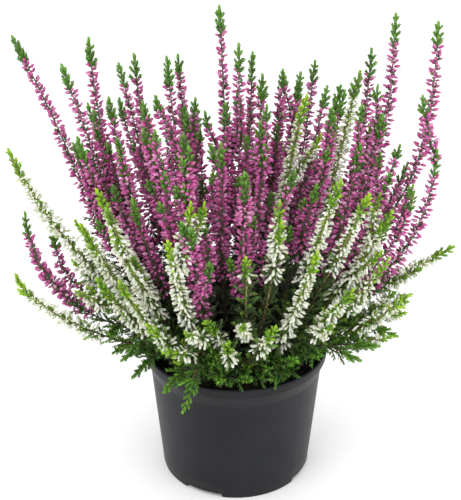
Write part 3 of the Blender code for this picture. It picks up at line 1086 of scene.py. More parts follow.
@dataclass(frozen=True)
class PetalFinish:
    """The buds: darker at the base, paler towards the tip and in streaks, with each bud its own tint.

    Attributes:
        name: the material's name.
        base: the colour where a bud leaves its bracts.
        deep: the darkest bud.
        full: the common bud.
        pale: the lightest bud and the tips.
        tip_share: how much of the pale colour the tips take.
    """

    name: str
    base: Colour
    deep: Colour
    full: Colour
    pale: Colour
    tip_share: float

    def material(self) -> bpy.types.Material:
        """Make the material.

        Returns:
            The material.
        """
        nodes = Nodes(self.name, 0.48, Specular_IOR_Level=0.22)
        along, tint = nodes.attribute("along"), nodes.attribute("tint")
        fine, broad = nodes.noise(1400.0, 2.0), nodes.noise(260.0, 2.0)
        colour = nodes.ramp(tint * 0.72 + fine * 0.28,
                            (0.12, self.deep), (0.5, self.full), (0.88, self.pale))
        streak = fine.eased(0.46, 0.68) * along.eased(0.35, 0.95) * self.tip_share
        colour = nodes.mixed(streak, colour, self.pale)
        colour = nodes.mixed(along.eased(0.22, 0.04), colour, self.base)
        colour = nodes.mixed(broad.eased(0.62, 0.40) * 0.18, colour, self.deep)
        nodes.bump(fine, 0.00012, 0.6)
        return nodes.dress(colour, 0.40 + fine * 0.22)


@dataclass(frozen=True)
class LeafFinish:
    """Scale leaves and needles, from painted shade inside the plant to its fresh tips.

    Attributes:
        name: the material's name.
        inner: the darkest leaves: painted shade for the leaves inside the plant.
        low: painted half shade for leaves inside the plant, and a darker green that the bracts share.
        full: the common green.
        fresh: the newest leaves.
        worn: a dull olive that shows in patches.
    """

    name: str
    inner: Colour
    low: Colour
    full: Colour
    fresh: Colour
    worn: Colour

    def material(self) -> bpy.types.Material:
        """Make the material.

        Returns:
            The material.
        """
        nodes = Nodes(self.name, 0.42, Specular_IOR_Level=0.20)
        along, tint = nodes.attribute("along"), nodes.attribute("tint")
        fine, broad = nodes.noise(900.0, 3.0), nodes.noise(120.0, 2.0)
        share = tint + (fine - 0.5) * 0.30 + (along - 0.5) * 0.16
        # the inner and low stops are painted shade for leaves inside the plant
        colour = nodes.ramp(share, (0.05, self.inner), (0.35, self.low), (0.68, self.full),
                            (0.98, self.fresh))
        colour = nodes.mixed(broad.eased(0.55, 0.72) * 0.35, colour, self.worn)
        nodes.bump(fine, 0.00010, 0.5)
        return nodes.dress(colour, 0.36 + fine * 0.24)


@dataclass(frozen=True)
class StemFinish:
    """Stems: woody and grey-brown low down, redder or yellower towards the tip.

    Attributes:
        name: the material's name.
        wood: the colour at the peat.
        young: the colour towards the tip.
        scar: the dark of bark cracks and leaf scars.
    """

    name: str
    wood: Colour
    young: Colour
    scar: Colour

    def material(self) -> bpy.types.Material:
        """Make the material.

        Returns:
            The material.
        """
        nodes = Nodes(self.name, 0.6, Specular_IOR_Level=0.25)
        bark = nodes.noise(1500.0, 4.0, 0.6, nodes.drawn_out(0.22))
        colour = nodes.mixed(nodes.attribute("along").eased(0.34, 0.78), self.wood, self.young)
        colour = nodes.mixed(bark.eased(0.50, 0.36) * 0.75, colour, self.scar)
        nodes.bump(bark, 0.00025, 0.8)
        return nodes.dress(colour, 0.52 + bark * 0.2)


@dataclass(frozen=True)
class PlasticFinish:
    """Thin charcoal nursery plastic: satin, faintly mottled, dusty and scuffed near the rim and foot.

    Attributes:
        deep: the plastic's colour.
        grey: the paler mottle and the bloom of dust.
        soil: the dirt that clings under the rim and at the foot.
    """

    deep: Colour = (0.0070, 0.0074, 0.0094)
    grey: Colour = (0.0145, 0.0157, 0.0198)
    soil: Colour = (0.040, 0.030, 0.021)

    def material(self) -> bpy.types.Material:
        """Make the material.

        Returns:
            The material.
        """
        nodes = Nodes("pot_plastic_satin", 0.42, Specular_IOR_Level=0.20)
        height = nodes.add("ShaderNodeSeparateXYZ", {}, {0: nodes.place()}, "Z")
        cloud, grain = nodes.noise(34.0, 4.0), nodes.noise(2600.0, 2.0)
        specks = nodes.noise(900.0, 1.0)
        scuffs = nodes.noise(420.0, 3.0, 0.6, nodes.drawn_out(0.06))
        colour = nodes.mixed(cloud.eased(0.35, 0.70) * 0.55, self.deep, self.grey)
        colour = nodes.mixed(scuffs.eased(0.62, 0.80) * 0.35, colour, self.grey)
        dirty = height.eased(0.070, 0.096) + height.eased(0.016, 0.0)
        colour = nodes.mixed(dirty * specks.eased(0.60, 0.74) * 0.5, colour, self.soil)
        nodes.bump(grain * 0.6 + scuffs * 0.4, 0.00012, 0.45)
        return nodes.dress(colour, 0.36 + cloud * 0.16 + scuffs.eased(0.5, 0.8) * 0.10)


@dataclass(frozen=True)
class SoilFinish:
    """Moist peat: near black with brown crumbs.

    Attributes:
        name: the material's name.
        wet: the darkest peat.
        damp: the common peat.
        dry: the lighter crumbs and fibres.
    """

    name: str
    wet: Colour
    damp: Colour
    dry: Colour

    def material(self) -> bpy.types.Material:
        """Make the material.

        Returns:
            The material.
        """
        nodes = Nodes(self.name, 0.85)
        crumbs, broad = nodes.noise(520.0, 5.0, 0.65), nodes.noise(70.0, 2.0)
        share = crumbs * 0.55 + nodes.attribute("tint") * 0.45
        colour = nodes.ramp(share, (0.25, self.wet), (0.5, self.damp), (0.85, self.dry))
        colour = nodes.mixed(broad.eased(0.58, 0.40) * 0.5, colour, self.wet)
        nodes.bump(crumbs, 0.0006, 0.9)
        return nodes.dress(colour, 0.74 + crumbs * 0.22)


@dataclass(frozen=True)
class FloorFinish:
    """A plain pale studio floor.

    Attributes:
        pale: its colour.
        shade: the faint grey that keeps it from being flat.
    """

    pale: Colour = (0.90, 0.90, 0.90)
    shade: Colour = (0.86, 0.86, 0.86)

    def material(self) -> bpy.types.Material:
        """Make the material.

        Returns:
            The material.
        """
        nodes = Nodes("studio_floor_paper", 0.9)
        return nodes.dress(nodes.mixed(nodes.noise(40.0, 2.0), self.pale, self.shade))


PETALS = {
    Kind.PINK: PetalFinish("pink_petal", base=(0.170, 0.085, 0.090), deep=(0.375, 0.050, 0.192),
                           full=(0.510, 0.086, 0.300), pale=(0.660, 0.370, 0.530), tip_share=0.80),
    Kind.WHITE: PetalFinish("white_petal", base=(0.25, 0.25, 0.08), deep=(0.44, 0.48, 0.27),
                            full=(0.69, 0.71, 0.60), pale=(0.85, 0.86, 0.81), tip_share=0.70),
}
# inner and low are painted shade for the leaves inside the plant; the bracts also use low as a darker
# green of their own
LEAVES = {
    Kind.PINK: LeafFinish("green_leaf", inner=(0.075, 0.088, 0.056), low=(0.078, 0.112, 0.056),
                          full=(0.094, 0.225, 0.036), fresh=(0.185, 0.385, 0.055),
                          worn=(0.090, 0.100, 0.040)),
    Kind.WHITE: LeafFinish("lime_leaf", inner=(0.070, 0.084, 0.052), low=(0.068, 0.118, 0.040),
                           full=(0.165, 0.330, 0.030), fresh=(0.400, 0.640, 0.030),
                           worn=(0.250, 0.270, 0.050)),
    Kind.LEAFY: LeafFinish("low_leaf", inner=(0.070, 0.084, 0.052), low=(0.058, 0.102, 0.036),
                           full=(0.072, 0.180, 0.022), fresh=(0.150, 0.330, 0.030),
                           worn=(0.090, 0.100, 0.030)),
}
STEMS = {
    Kind.PINK: StemFinish("purple_brown_stem", wood=(0.100, 0.070, 0.055), young=(0.270, 0.145, 0.165),
                          scar=(0.110, 0.065, 0.070)),
    Kind.WHITE: StemFinish("yellow_brown_stem", wood=(0.080, 0.056, 0.034), young=(0.400, 0.360, 0.120),
                           scar=(0.250, 0.150, 0.060)),
    Kind.LEAFY: StemFinish("brown_stem", wood=(0.060, 0.040, 0.028), young=(0.110, 0.080, 0.030),
                           scar=(0.028, 0.018, 0.012)),
}


@dataclass(frozen=True)
class Flowering:
    """The buds of one kind of shoot.

    Attributes:
        bud: the form of a bud, of length one.
        length: how long a bud is.
        low_pitch: the distance from bud to bud at the foot of the flowers.
        high_pitch: the same at their end.
        lift: how far buds point up the shoot, in degrees.
        droop: how strongly they hang.
        stand_off: how far the lowest buds stand off the stem.
        shrink: how much shorter the topmost buds are.
        loose: how unevenly they follow each other.
        bracts: how fresh the bracts are low down, and the gain towards the end.
        turns: the spread of the buds' turns round the stem, in radians.
        lifts: the spread of their lifts in degrees, and what looseness adds to it.
        droops: the spread of their droops.
        lengths: how their lengths differ.
        widths: how their widths differ.
        tints: their usual tint and its spread.
        shades: the spread of the bracts' freshness.
    """

    bud: Stamp
    length: float
    low_pitch: float
    high_pitch: float
    lift: float
    droop: float
    stand_off: float
    shrink: float
    loose: float
    bracts: tuple[float, float]
    turns: float = 0.28
    lifts: tuple[float, float] = (8.0, 14.0)
    droops: float = 0.14
    lengths: tuple[float, float] = (0.78, 1.12)
    widths: tuple[float, float] = (0.9, 1.14)
    tints: tuple[float, float] = (0.52, 0.22)
    shades: float = 0.13


@dataclass(frozen=True)
class Branching:
    """The side shoots that one kind of shoot carries half way up.

    Attributes:
        number: how many a shoot carries.
        one_more: the length of shoot that carries one more.
        feet: where they leave it, as shares of its length.
        longest: how long they may be.
        rightmost: how far to the right a shoot may end and still carry them.
    """

    number: int
    one_more: float
    feet: tuple[float, float]
    longest: float
    rightmost: float


PINK_BUD = spindle((0, 0.26, 0.66, 1.0), (0.185, 0.180), 5, (11, 8))
WHITE_BUD = spindle((0, 0.28, 0.76, 1.0), (0.115, 0.165), 5, (11, 8))
KNOB = spindle((0, 0.30, 0.78, 1.0), (0.25, 0.31), 4, (10, 8))
FLOWERS = {
    Kind.PINK: Flowering(PINK_BUD, length=5.3, low_pitch=0.60, high_pitch=0.92, lift=8.0, droop=0.08,
                         stand_off=2.4, shrink=0.14, loose=0.35, bracts=(0.44, 0.0)),
    Kind.WHITE: Flowering(WHITE_BUD, length=5.9, low_pitch=0.46, high_pitch=0.44, lift=6.0, droop=0.62,
                          stand_off=2.4, shrink=0.34, loose=0.85, bracts=(0.58, 0.14)),
}
BRANCHINGS = {
    Kind.PINK: Branching(1, one_more=215.0, feet=(0.40, 0.58), longest=62.0, rightmost=112.0),
    Kind.WHITE: Branching(3, one_more=math.inf, feet=(0.24, 0.42), longest=52.0, rightmost=-80.0),
}

# How far down from their tip some shoots flower, by spray and place in it, where the habit isn't kept
SHORT_FLOWERS = {
    "white_spray_04": {1: 19.0}, "white_spray_05": {0: 28.0, 1: 13.0, 2: 0.0},
    "white_spray_07": {0: 58.0, 1: 44.0, 2: 58.0}, "white_spray_08": {0: 74.0, 1: 32.0},
    "white_spray_09": {0: 32.0, 1: 30.0}, "white_spray_10": {1: 34.0},
    "white_spray_11": {0: 15.0, 1: 13.0, 2: 16.0},
}

SCALE_LEAF = leaf_stamp(0.62, 0.16, 0.06)
NEEDLE = leaf_stamp(0.50, 0.12)
ROD = Sprig(7.0, (0.74, 0.92), 4, 1.25, SCALE_LEAF, 2.2, 22.0, 1.2).stamp()
END_ROD = Sprig(6.4, (0.76, 0.98), 5, 1.15, SCALE_LEAF, 2.3, 20.0, 0.0).stamp()
SLEEVE = Sprig(5.4, (0.68, 0.72), 4, 1.3, SCALE_LEAF, 2.2, 30.0, 0.0).stamp()
FEATHER = Sprig(10.0, (0.46, 0.50), 3, 1.25, NEEDLE, 2.4, 32.0, 1.8).stamp()
ANY_TURN = (0.0, 6.28)


class Finish(Enum):
    """The material numbers of a spray's piece."""

    PETAL = 0
    LEAF = 1
    STEM = 2


@dataclass
class Spray:
    """One spray of shoots: stems, buds on bracts, leafy sides low down and leafy tips.

    Attributes:
        name: the name of the solid that it stands for.
        kind: what sort of shoots it has.
        shoots: its shoots.
        side_paths: the paths of the side shoots that it carries higher up.
        seed: starts its random draws.
        pool: gathers its forms.
        stem_sunk: how far its stem reaches into the peat.
        stem_short: how far short of the tip a stem ends.
        stem_step: the distance between a stem's rings.
        branch_stem: the radius of a stem that another carries.
        stem_end: the radius of a stem at its end.
        bare: the run at a shoot's foot without leaves.
        branch_bare: the same on a shoot that another carries.
        branch_leafy: the least run before the flowers there.
        tip_range: the length of a tip, as shares of the usual one.
        overlap: how far leaves go on past the first flowers.
        flowers_before: how far below their place the flowers start.
        flowers_past: how far they go on into the tip.
        carries_from: the length of shoot from which it carries side shoots.
        side_shortest: how short those may be.
        side_below: how far below its carrier's tip one has to end.
        side_aside: how far beside its carrier one ends.
        side_start: where flowers start on a side shoot, as a share of it.
        side_tips: the length of its tip, as shares of the usual one.
        side_tip_size: the size of its tip's rods.
        low_side: side shoots that end lower than this flower only near their tip.
        low_side_flowers: how long those flowers are.
        low_side_leaves: how far below that tip its leaves end.
        low_side_tip: the length of that tip, as a share of the usual one, and the size of its rods.
        low_shoots: how many short leafy shoots stand round its root.
        low_near: how near the middle of the pot those may start.
        low_far: how far from it they may end.
        low_inner: those that end nearer to it are the taller ones.
        low_rises: how high they rise, there and further out.
        low_tip: the length of their tips, and the size of the rods there.
        bract: how long a bract is.
        bract_sizes: how bracts differ.
        bract_shape: how much a bract is broader than a needle.
        knob: how long the small leaf buds between the flowers are.
        knob_sizes: how those differ.
        crossed: the share of the flowers from which they stand in crossed pairs.
        sprig_pitch: the distance between leafy side sprigs.
        leafy_pitch: the same on a leafy shoot, as a share of it.
        sprig_sizes: how sprigs differ.
        sprig_leans: how far they lean out, in degrees.
        sprig_length: the length that has to stay clear of the peat.
        tier_pitch: the distance between pairs of rods on a tip.
        sleeve_pitch: the distance between the sleeves that cover a tip's stem.
        tip_sizes: how tips differ.
        tip_fresh: how fresh a tip usually is, and the spread of that.
        end_rod: how long a tip's last rod stands on its stem.
        rod_sizes: how the rods of a tip differ.
        rod_leans: how far they lean out, in degrees.
        rod_shape: their breadth and length, as shares of the form's own.
        random: its draws.
    """

    name: str
    kind: Kind
    shoots: list[Shoot]
    side_paths: list[Array]
    seed: int
    pool: Pool = field(default_factory=Pool)
    stem_sunk: float = 4.0
    stem_short: float = 3.5
    stem_step: float = 5.5
    branch_stem: float = 0.95
    stem_end: float = 0.46
    bare: float = 10.0
    branch_bare: float = 6.0
    branch_leafy: float = 17.0
    tip_range: tuple[float, float] = (0.86, 1.30)
    overlap: float = 12.0
    flowers_before: float = 2.0
    flowers_past: float = 1.0
    carries_from: float = 130.0
    side_shortest: float = 38.0
    side_below: float = 24.0
    side_aside: tuple[float, float] = (8.5, 12.5)
    side_start: float = 0.10
    side_tips: tuple[float, float] = (0.6, 0.85)
    side_tip_size: float = 0.85
    low_side: float = 170.0
    low_side_flowers: float = 17.0
    low_side_leaves: float = 12.0
    low_side_tip: tuple[float, float] = (0.45, 0.62)
    low_shoots: int = 3
    low_near: float = 12.0
    low_far: float = 80.0
    low_inner: float = 46.0
    low_rises: tuple[tuple[float, float], ...] = ((34.0, 84.0), (18.0, 40.0))
    low_tip: tuple[float, float] = (10.0, 0.8)
    bract: float = 2.4
    bract_sizes: tuple[float, float] = (0.8, 1.3)
    bract_shape: tuple[float, float, float] = (1.5, 1.5, 1.0)
    knob: float = 2.9
    knob_sizes: tuple[float, float] = (0.75, 1.25)
    crossed: float = 0.45
    sprig_pitch: float = 1.7
    leafy_pitch: float = 0.80
    sprig_sizes: tuple[float, float] = (0.8, 1.3)
    sprig_leans: tuple[float, float] = (36.0, 62.0)
    sprig_length: float = 8.0
    tier_pitch: float = 2.3
    sleeve_pitch: float = 4.4
    tip_sizes: tuple[float, float] = (0.92, 1.12)
    tip_fresh: tuple[float, float] = (0.66, 0.06)
    end_rod: float = 5.6
    rod_sizes: tuple[float, float] = (0.85, 1.1)
    rod_leans: tuple[float, float] = (34.0, 52.0)
    rod_shape: tuple[float, float, float] = (1.1, 1.1, 0.92)
    random: Random = field(init=False)

    def __post_init__(self) -> None:
        """Start the random draws."""
        self.random = np.random.default_rng(self.seed)

    def build(self) -> bpy.types.Object:
        """Build and dress the piece.

        Returns:
            The piece that stands for the spray's solid.
        """
        for number, shoot in enumerate(self.shoots):
            self.shoot(number, shoot)
        for path in self.side_paths:
            self.side_shoot(path)
        for _ in range(self.low_shoots):
            self.low_shoot()
        kind = self.kind
        materials = [PETALS.get(kind, PETALS[Kind.WHITE]).material(), LEAVES[kind].material(),
                     STEMS[kind].material()]
        piece = self.pool.piece(self.name + "_shoots", materials)
        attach(piece, "root")
        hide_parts(self.name)
        return piece

    def shoot(self, number: int, shoot: Shoot) -> None:
        """Build one of the spray's own shoots: stem, leafy sides, flowers and tip.

        Args:
            number: its place in the spray.
            shoot: the shoot.
        """
        self.stem(shoot)
        way = Way(shoot.at(SHOOT_SHARES))
        bare = self.bare
        flowers = way.total * (1 - HABITS[self.kind].flower_share)
        if shoot.parent is not None:
            bare = self.branch_bare
            flowers = max(flowers, self.branch_leafy)
        tip = way.total - TIP_LENGTH * self.random.uniform(*self.tip_range)
        short = SHORT_FLOWERS.get(self.name, {})
        if number in short:
            flowers = tip - short[number]
        if self.kind in FLOWERS:
            self.sides(way, bare, min(flowers + self.overlap, tip))
            self.flowers(way, flowers - self.flowers_before, tip + self.flowers_past)
        else:
            self.sides(way, bare, tip)
        self.tip(way, tip)
        branching = BRANCHINGS.get(self.kind)
        if branching and way.total > self.carries_from and shoot.points[-1, 0] < branching.rightmost:
            self.side_paths += self.more_side_paths(way, branching)

    def stem(self, shoot: Shoot) -> None:
        """Lay a stem, from inside the peat or from the shoot that carries it.

        Args:
            shoot: its shoot.
        """
        length = shoot.length()
        count = max(8, int(length / self.stem_step))
        path = shoot.at(np.linspace(0, 1 - self.stem_short / length, count))
        thick = self.branch_stem
        if shoot.parent is None:
            thick = STEM
            path = np.concatenate([[[path[0, 0], path[0, 1], PEAT_TOP - self.stem_sunk]], path])
        radii = thick + (self.stem_end - thick) * np.linspace(0, 1, len(path)) ** 0.5
        self.pool.tube(path, radii, 6, float(self.random.uniform(0.2, 0.8)), Finish.STEM.value)

    def twig(self, path: Array, thick: float, thin: float, tint: float) -> None:
        """Lay the thin stem of a short shoot.

        Args:
            path: the shoot's path.
            thick: the stem's radius at its foot.
            thin: its radius at the end.
            tint: a number from 0 to 1.
        """
        rings = path[::6]
        self.pool.tube(rings, np.linspace(thick, thin, len(rings)), 5, tint, Finish.STEM.value)

    def more_side_paths(self, way: Way, branching: Branching) -> list[Array]:
        """Lay out side shoots that leave a shoot half way up and end below its tip.

        Args:
            way: the shoot's path.
            branching: how its kind carries them.

        Returns:
            Their paths.
        """
        paths = []
        for _ in range(branching.number + (way.total > branching.one_more)):
            foot = way.total * self.random.uniform(*branching.feet)
            length = min(self.random.uniform(self.side_shortest, branching.longest),
                         way.total - foot - self.side_below)
            turn = self.random.uniform(0, FULL_TURN)
            spots = way.read(np.array([foot, foot + length]))
            out, along = spots.out(turn), spots.along
            start, tip = spots.at[0], spots.at[1] + out[1] * self.random.uniform(*self.side_aside)
            paths.append(curve(start, start + (along[0] + out[0] * 0.7) * length * 0.3,
                               tip - along[1] * length * 0.35, tip))
        return paths

    def side_shoot(self, path: Array) -> None:
        """Build one side shoot: buds up to a short leafy tip, and leaves below them if it is low.

        Args:
            path: its path.
        """
        way = Way(path)
        self.twig(path, 0.66, 0.42, 0.5)
        if path[-1, 2] < self.low_side:
            share, size = self.low_side_tip
            tip = way.total - TIP_LENGTH * share
            start = tip - self.low_side_flowers
            self.sides(way, 2.0, tip - self.low_side_leaves)
        else:
            size = self.side_tip_size
            tip = way.total - TIP_LENGTH * self.random.uniform(*self.side_tips)
            start = way.total * self.side_start
        self.flowers(way, start, tip + self.flowers_past)
        self.tip(way, tip, size)

    def low_shoot(self) -> None:
        """Build a short leafy shoot that leaves the peat beside the spray's root."""
        root = self.shoots[0].points[0]
        rho = max(self.low_near, float(np.hypot(root[0], root[1])))
        angle = math.atan2(root[1], root[0]) + self.random.normal(0, 0.30)
        near = np.array([math.cos(angle) * (rho + 2), math.sin(angle) * (rho + 2), PEAT_TOP - 1.0])
        far = min(rho + self.random.uniform(10, 30), self.low_far)
        angle += self.random.normal(0, 0.22)
        rise = self.random.uniform(*self.low_rises[far > self.low_inner])
        tip = np.array([math.cos(angle) * far, math.sin(angle) * far, PEAT_TOP + rise])
        path = curve(near, near + UP * rise * 0.75, near * 0.4 + tip * 0.6 + UP * rise * 0.15, tip)
        way = Way(path)
        self.twig(path, 0.7, 0.3, 0.4)
        self.sides(way, 6.0, way.total - 7.0)
        self.tip(way, way.total - self.low_tip[0], self.low_tip[1])

    def flower_runs(self, start: float, end: float) -> Array:
        """Space the flowers out along a shoot.

        Args:
            start: where they start.
            end: where they end.

        Returns:
            The run of each.
        """
        form = FLOWERS[self.kind]
        runs = []
        run = start
        while run < end:
            runs.append(run)
            share = (run - start) / max(end - start, 1.0)
            pitch = form.low_pitch + (form.high_pitch - form.low_pitch) * share ** 1.4
            run += pitch * self.random.uniform(1 - form.loose, 1 + form.loose)
        return np.array(runs)

    def flowers(self, way: Way, start: float, end: float) -> None:
        """Set buds with bracts and small leaf buds round a shoot, in crossed pairs near its end.

        Args:
            way: the shoot's path.
            start: where the flowers start.
            end: where they end.
        """
        draw = self.random
        form = FLOWERS[self.kind]
        runs = self.flower_runs(start, end)
        count = len(runs)
        if not count:
            return
        share = (runs - start) / max(end - start, 1.0)
        order = np.arange(count)
        pairs = (order % 2) * math.pi + (order // 2) * math.pi / 2
        turn = np.where(share > self.crossed, pairs, order * GOLDEN) + draw.uniform(*ANY_TURN)
        turn = turn + draw.normal(0, form.turns, count)
        spots = way.read(runs)
        at, along, out = spots.at, spots.along, spots.out(turn)
        spread = form.lifts[0] + form.lifts[1] * form.loose
        lift = form.lift * (1 + 3 * share) + draw.normal(0, spread, count)
        droop = form.droop * (1 - 0.6 * share) + draw.normal(0, form.droops, count)
        pointing = unit(leaning(along, out, np.radians(lift)[:, None]) - UP * droop[:, None])
        length = form.length * (1.0 - form.shrink * share ** 2) * draw.uniform(*form.lengths, count)
        width = length * draw.uniform(*form.widths, count) * (1 + 0.12 * share)
        off = 0.5 + form.stand_off * draw.uniform(0, 1, count) * (1 - share)
        usual, spread = form.tints
        tints = np.clip(usual + draw.normal(0, spread, count) - form.shrink * 0.6 * share ** 2, 0, 1)
        self.pool.set_down(form.bud, at + out * off[:, None] + pointing * 0.2, along, pointing,
                           np.stack([width, width, length], -1), tints, Finish.PETAL.value)
        fresh = form.bracts[0] + form.bracts[1] * share
        shade = np.clip(fresh + draw.normal(0, form.shades, count), 0, 1)
        across = np.cross(pointing, along) * draw.choice((-0.8, 0.8), count)[:, None]
        bract = unit(pointing * 0.6 + across + along * 0.45)
        foot = at + out * 0.4
        size = (self.bract * draw.uniform(*self.bract_sizes, count))[:, None] * self.bract_shape
        self.pool.set_down(NEEDLE, foot, bract + along, bract, size, shade, Finish.LEAF.value)
        third = order % 3 == 0
        knob = unit(out * 0.8 - across * 0.6 + along * 0.7)
        size = self.knob * draw.uniform(*self.knob_sizes, count)
        self.pool.set_down(KNOB, foot[third], along[third], knob[third], size[third],
                           shade[third] * 0.9, Finish.LEAF.value)

    def leaf_shade(self, at: Array) -> Array:
        """Tell how dark to paint leaves: painted shade inside the plant, brighter towards its outside,
        with a random spread of their own.

        Args:
            at: where they are.

        Returns:
            A number from 0 to 1 for each.
        """
        # painted shade: leaves inside the plant get darker colours, and the gain towards the outside is
        # smaller higher up
        outside = np.clip((np.hypot(at[:, 0], at[:, 1]) - 26) / 62, 0, 1)
        height = np.clip((at[:, 2] - 100) / 90, 0, 1)
        level = 0.14 + 0.46 * outside * (1 - 0.4 * height)
        if self.kind is Kind.LEAFY:
            level = level + 0.12
        return np.clip(level + self.random.normal(0, 0.10, len(at)), 0, 1)

    def sides(self, way: Way, start: float, end: float) -> None:
        """Set leafy sprigs round a shoot, fewer inside the plant and painted darker there as shade.

        Args:
            way: the shoot's path.
            start: where the sprigs start.
            end: where they end.
        """
        pitch = self.sprig_pitch * (self.leafy_pitch if self.kind is Kind.LEAFY else 1.0)
        count = int(max(0.0, end - start) / pitch)
        if not count:
            return
        draw = self.random
        spots = way.read(start + (np.arange(count) + draw.uniform(0.2, 0.8, count)) * pitch)
        at, along = spots.at, spots.along
        out = spots.out(np.arange(count) * GOLDEN + draw.uniform(*ANY_TURN))
        pointing = leaning(out, along, np.radians(draw.uniform(*self.sprig_leans, count))[:, None])
        low = at[:, 2] + self.sprig_length * pointing[:, 2] < PEAT_TOP + 4
        pointing[low, 2] = np.abs(pointing[low, 2])
        size = draw.uniform(*self.sprig_sizes, count)
        # painted shade: sprigs inside the plant take darker greens
        shade = self.leaf_shade(at)
        keep = draw.uniform(0, 1, count) < 0.50 + np.hypot(at[:, 0], at[:, 1]) / 60
        self.pool.set_down(FEATHER, at[keep], along[keep], pointing[keep], size[keep], shade[keep],
                           Finish.LEAF.value)

    def tip(self, way: Way, start: float, scale: float = 1.0) -> None:
        """End a shoot in a rod of scale leaves, above crossed pairs of shorter rods.

        Args:
            way: the shoot's path.
            start: where the tip starts.
            scale: its size.
        """
        draw = self.random
        grown = scale * draw.uniform(*self.tip_sizes)
        last = way.total - self.end_rod * grown
        tiers = max(2, int((last - start) / (self.tier_pitch * scale)) + 1)
        usual, spread = self.tip_fresh
        fresh = usual + draw.normal(0, spread)
        ends = ((END_ROD, np.array([last]), min(1.0, fresh + 0.12)),
                (SLEEVE, np.arange(start - 2.0, last, self.sleeve_pitch * grown), fresh))
        for form, runs, shade in ends:
            spots = way.read(runs)
            self.pool.set_down(form, spots.at, spots.side, spots.along, np.full(len(runs), grown),
                               np.full(len(runs), shade), Finish.LEAF.value)
        count = tiers * 2
        runs = np.repeat(np.linspace(start, last - 0.2, tiers), 2) + draw.normal(0, 0.35, count)
        tier = np.repeat(np.arange(tiers), 2)
        turns = np.tile((0.0, math.pi), tiers) + tier * math.pi / 2 + draw.normal(0, 0.22, count)
        spots = way.read(runs)
        lean = np.radians(draw.uniform(*self.rod_leans, count))[:, None]
        pointing = leaning(spots.out(turns), spots.along, lean)
        share = tier / (tiers - 1)
        sizes = grown * (0.98 - 0.30 * share ** 2) * draw.uniform(*self.rod_sizes, count)
        shade = np.clip(fresh + 0.10 * share + draw.normal(0, 0.08, count), 0, 1)
        self.pool.set_down(ROD, spots.at, spots.along, pointing, sizes[:, None] * self.rod_shape,
                           shade, Finish.LEAF.value)


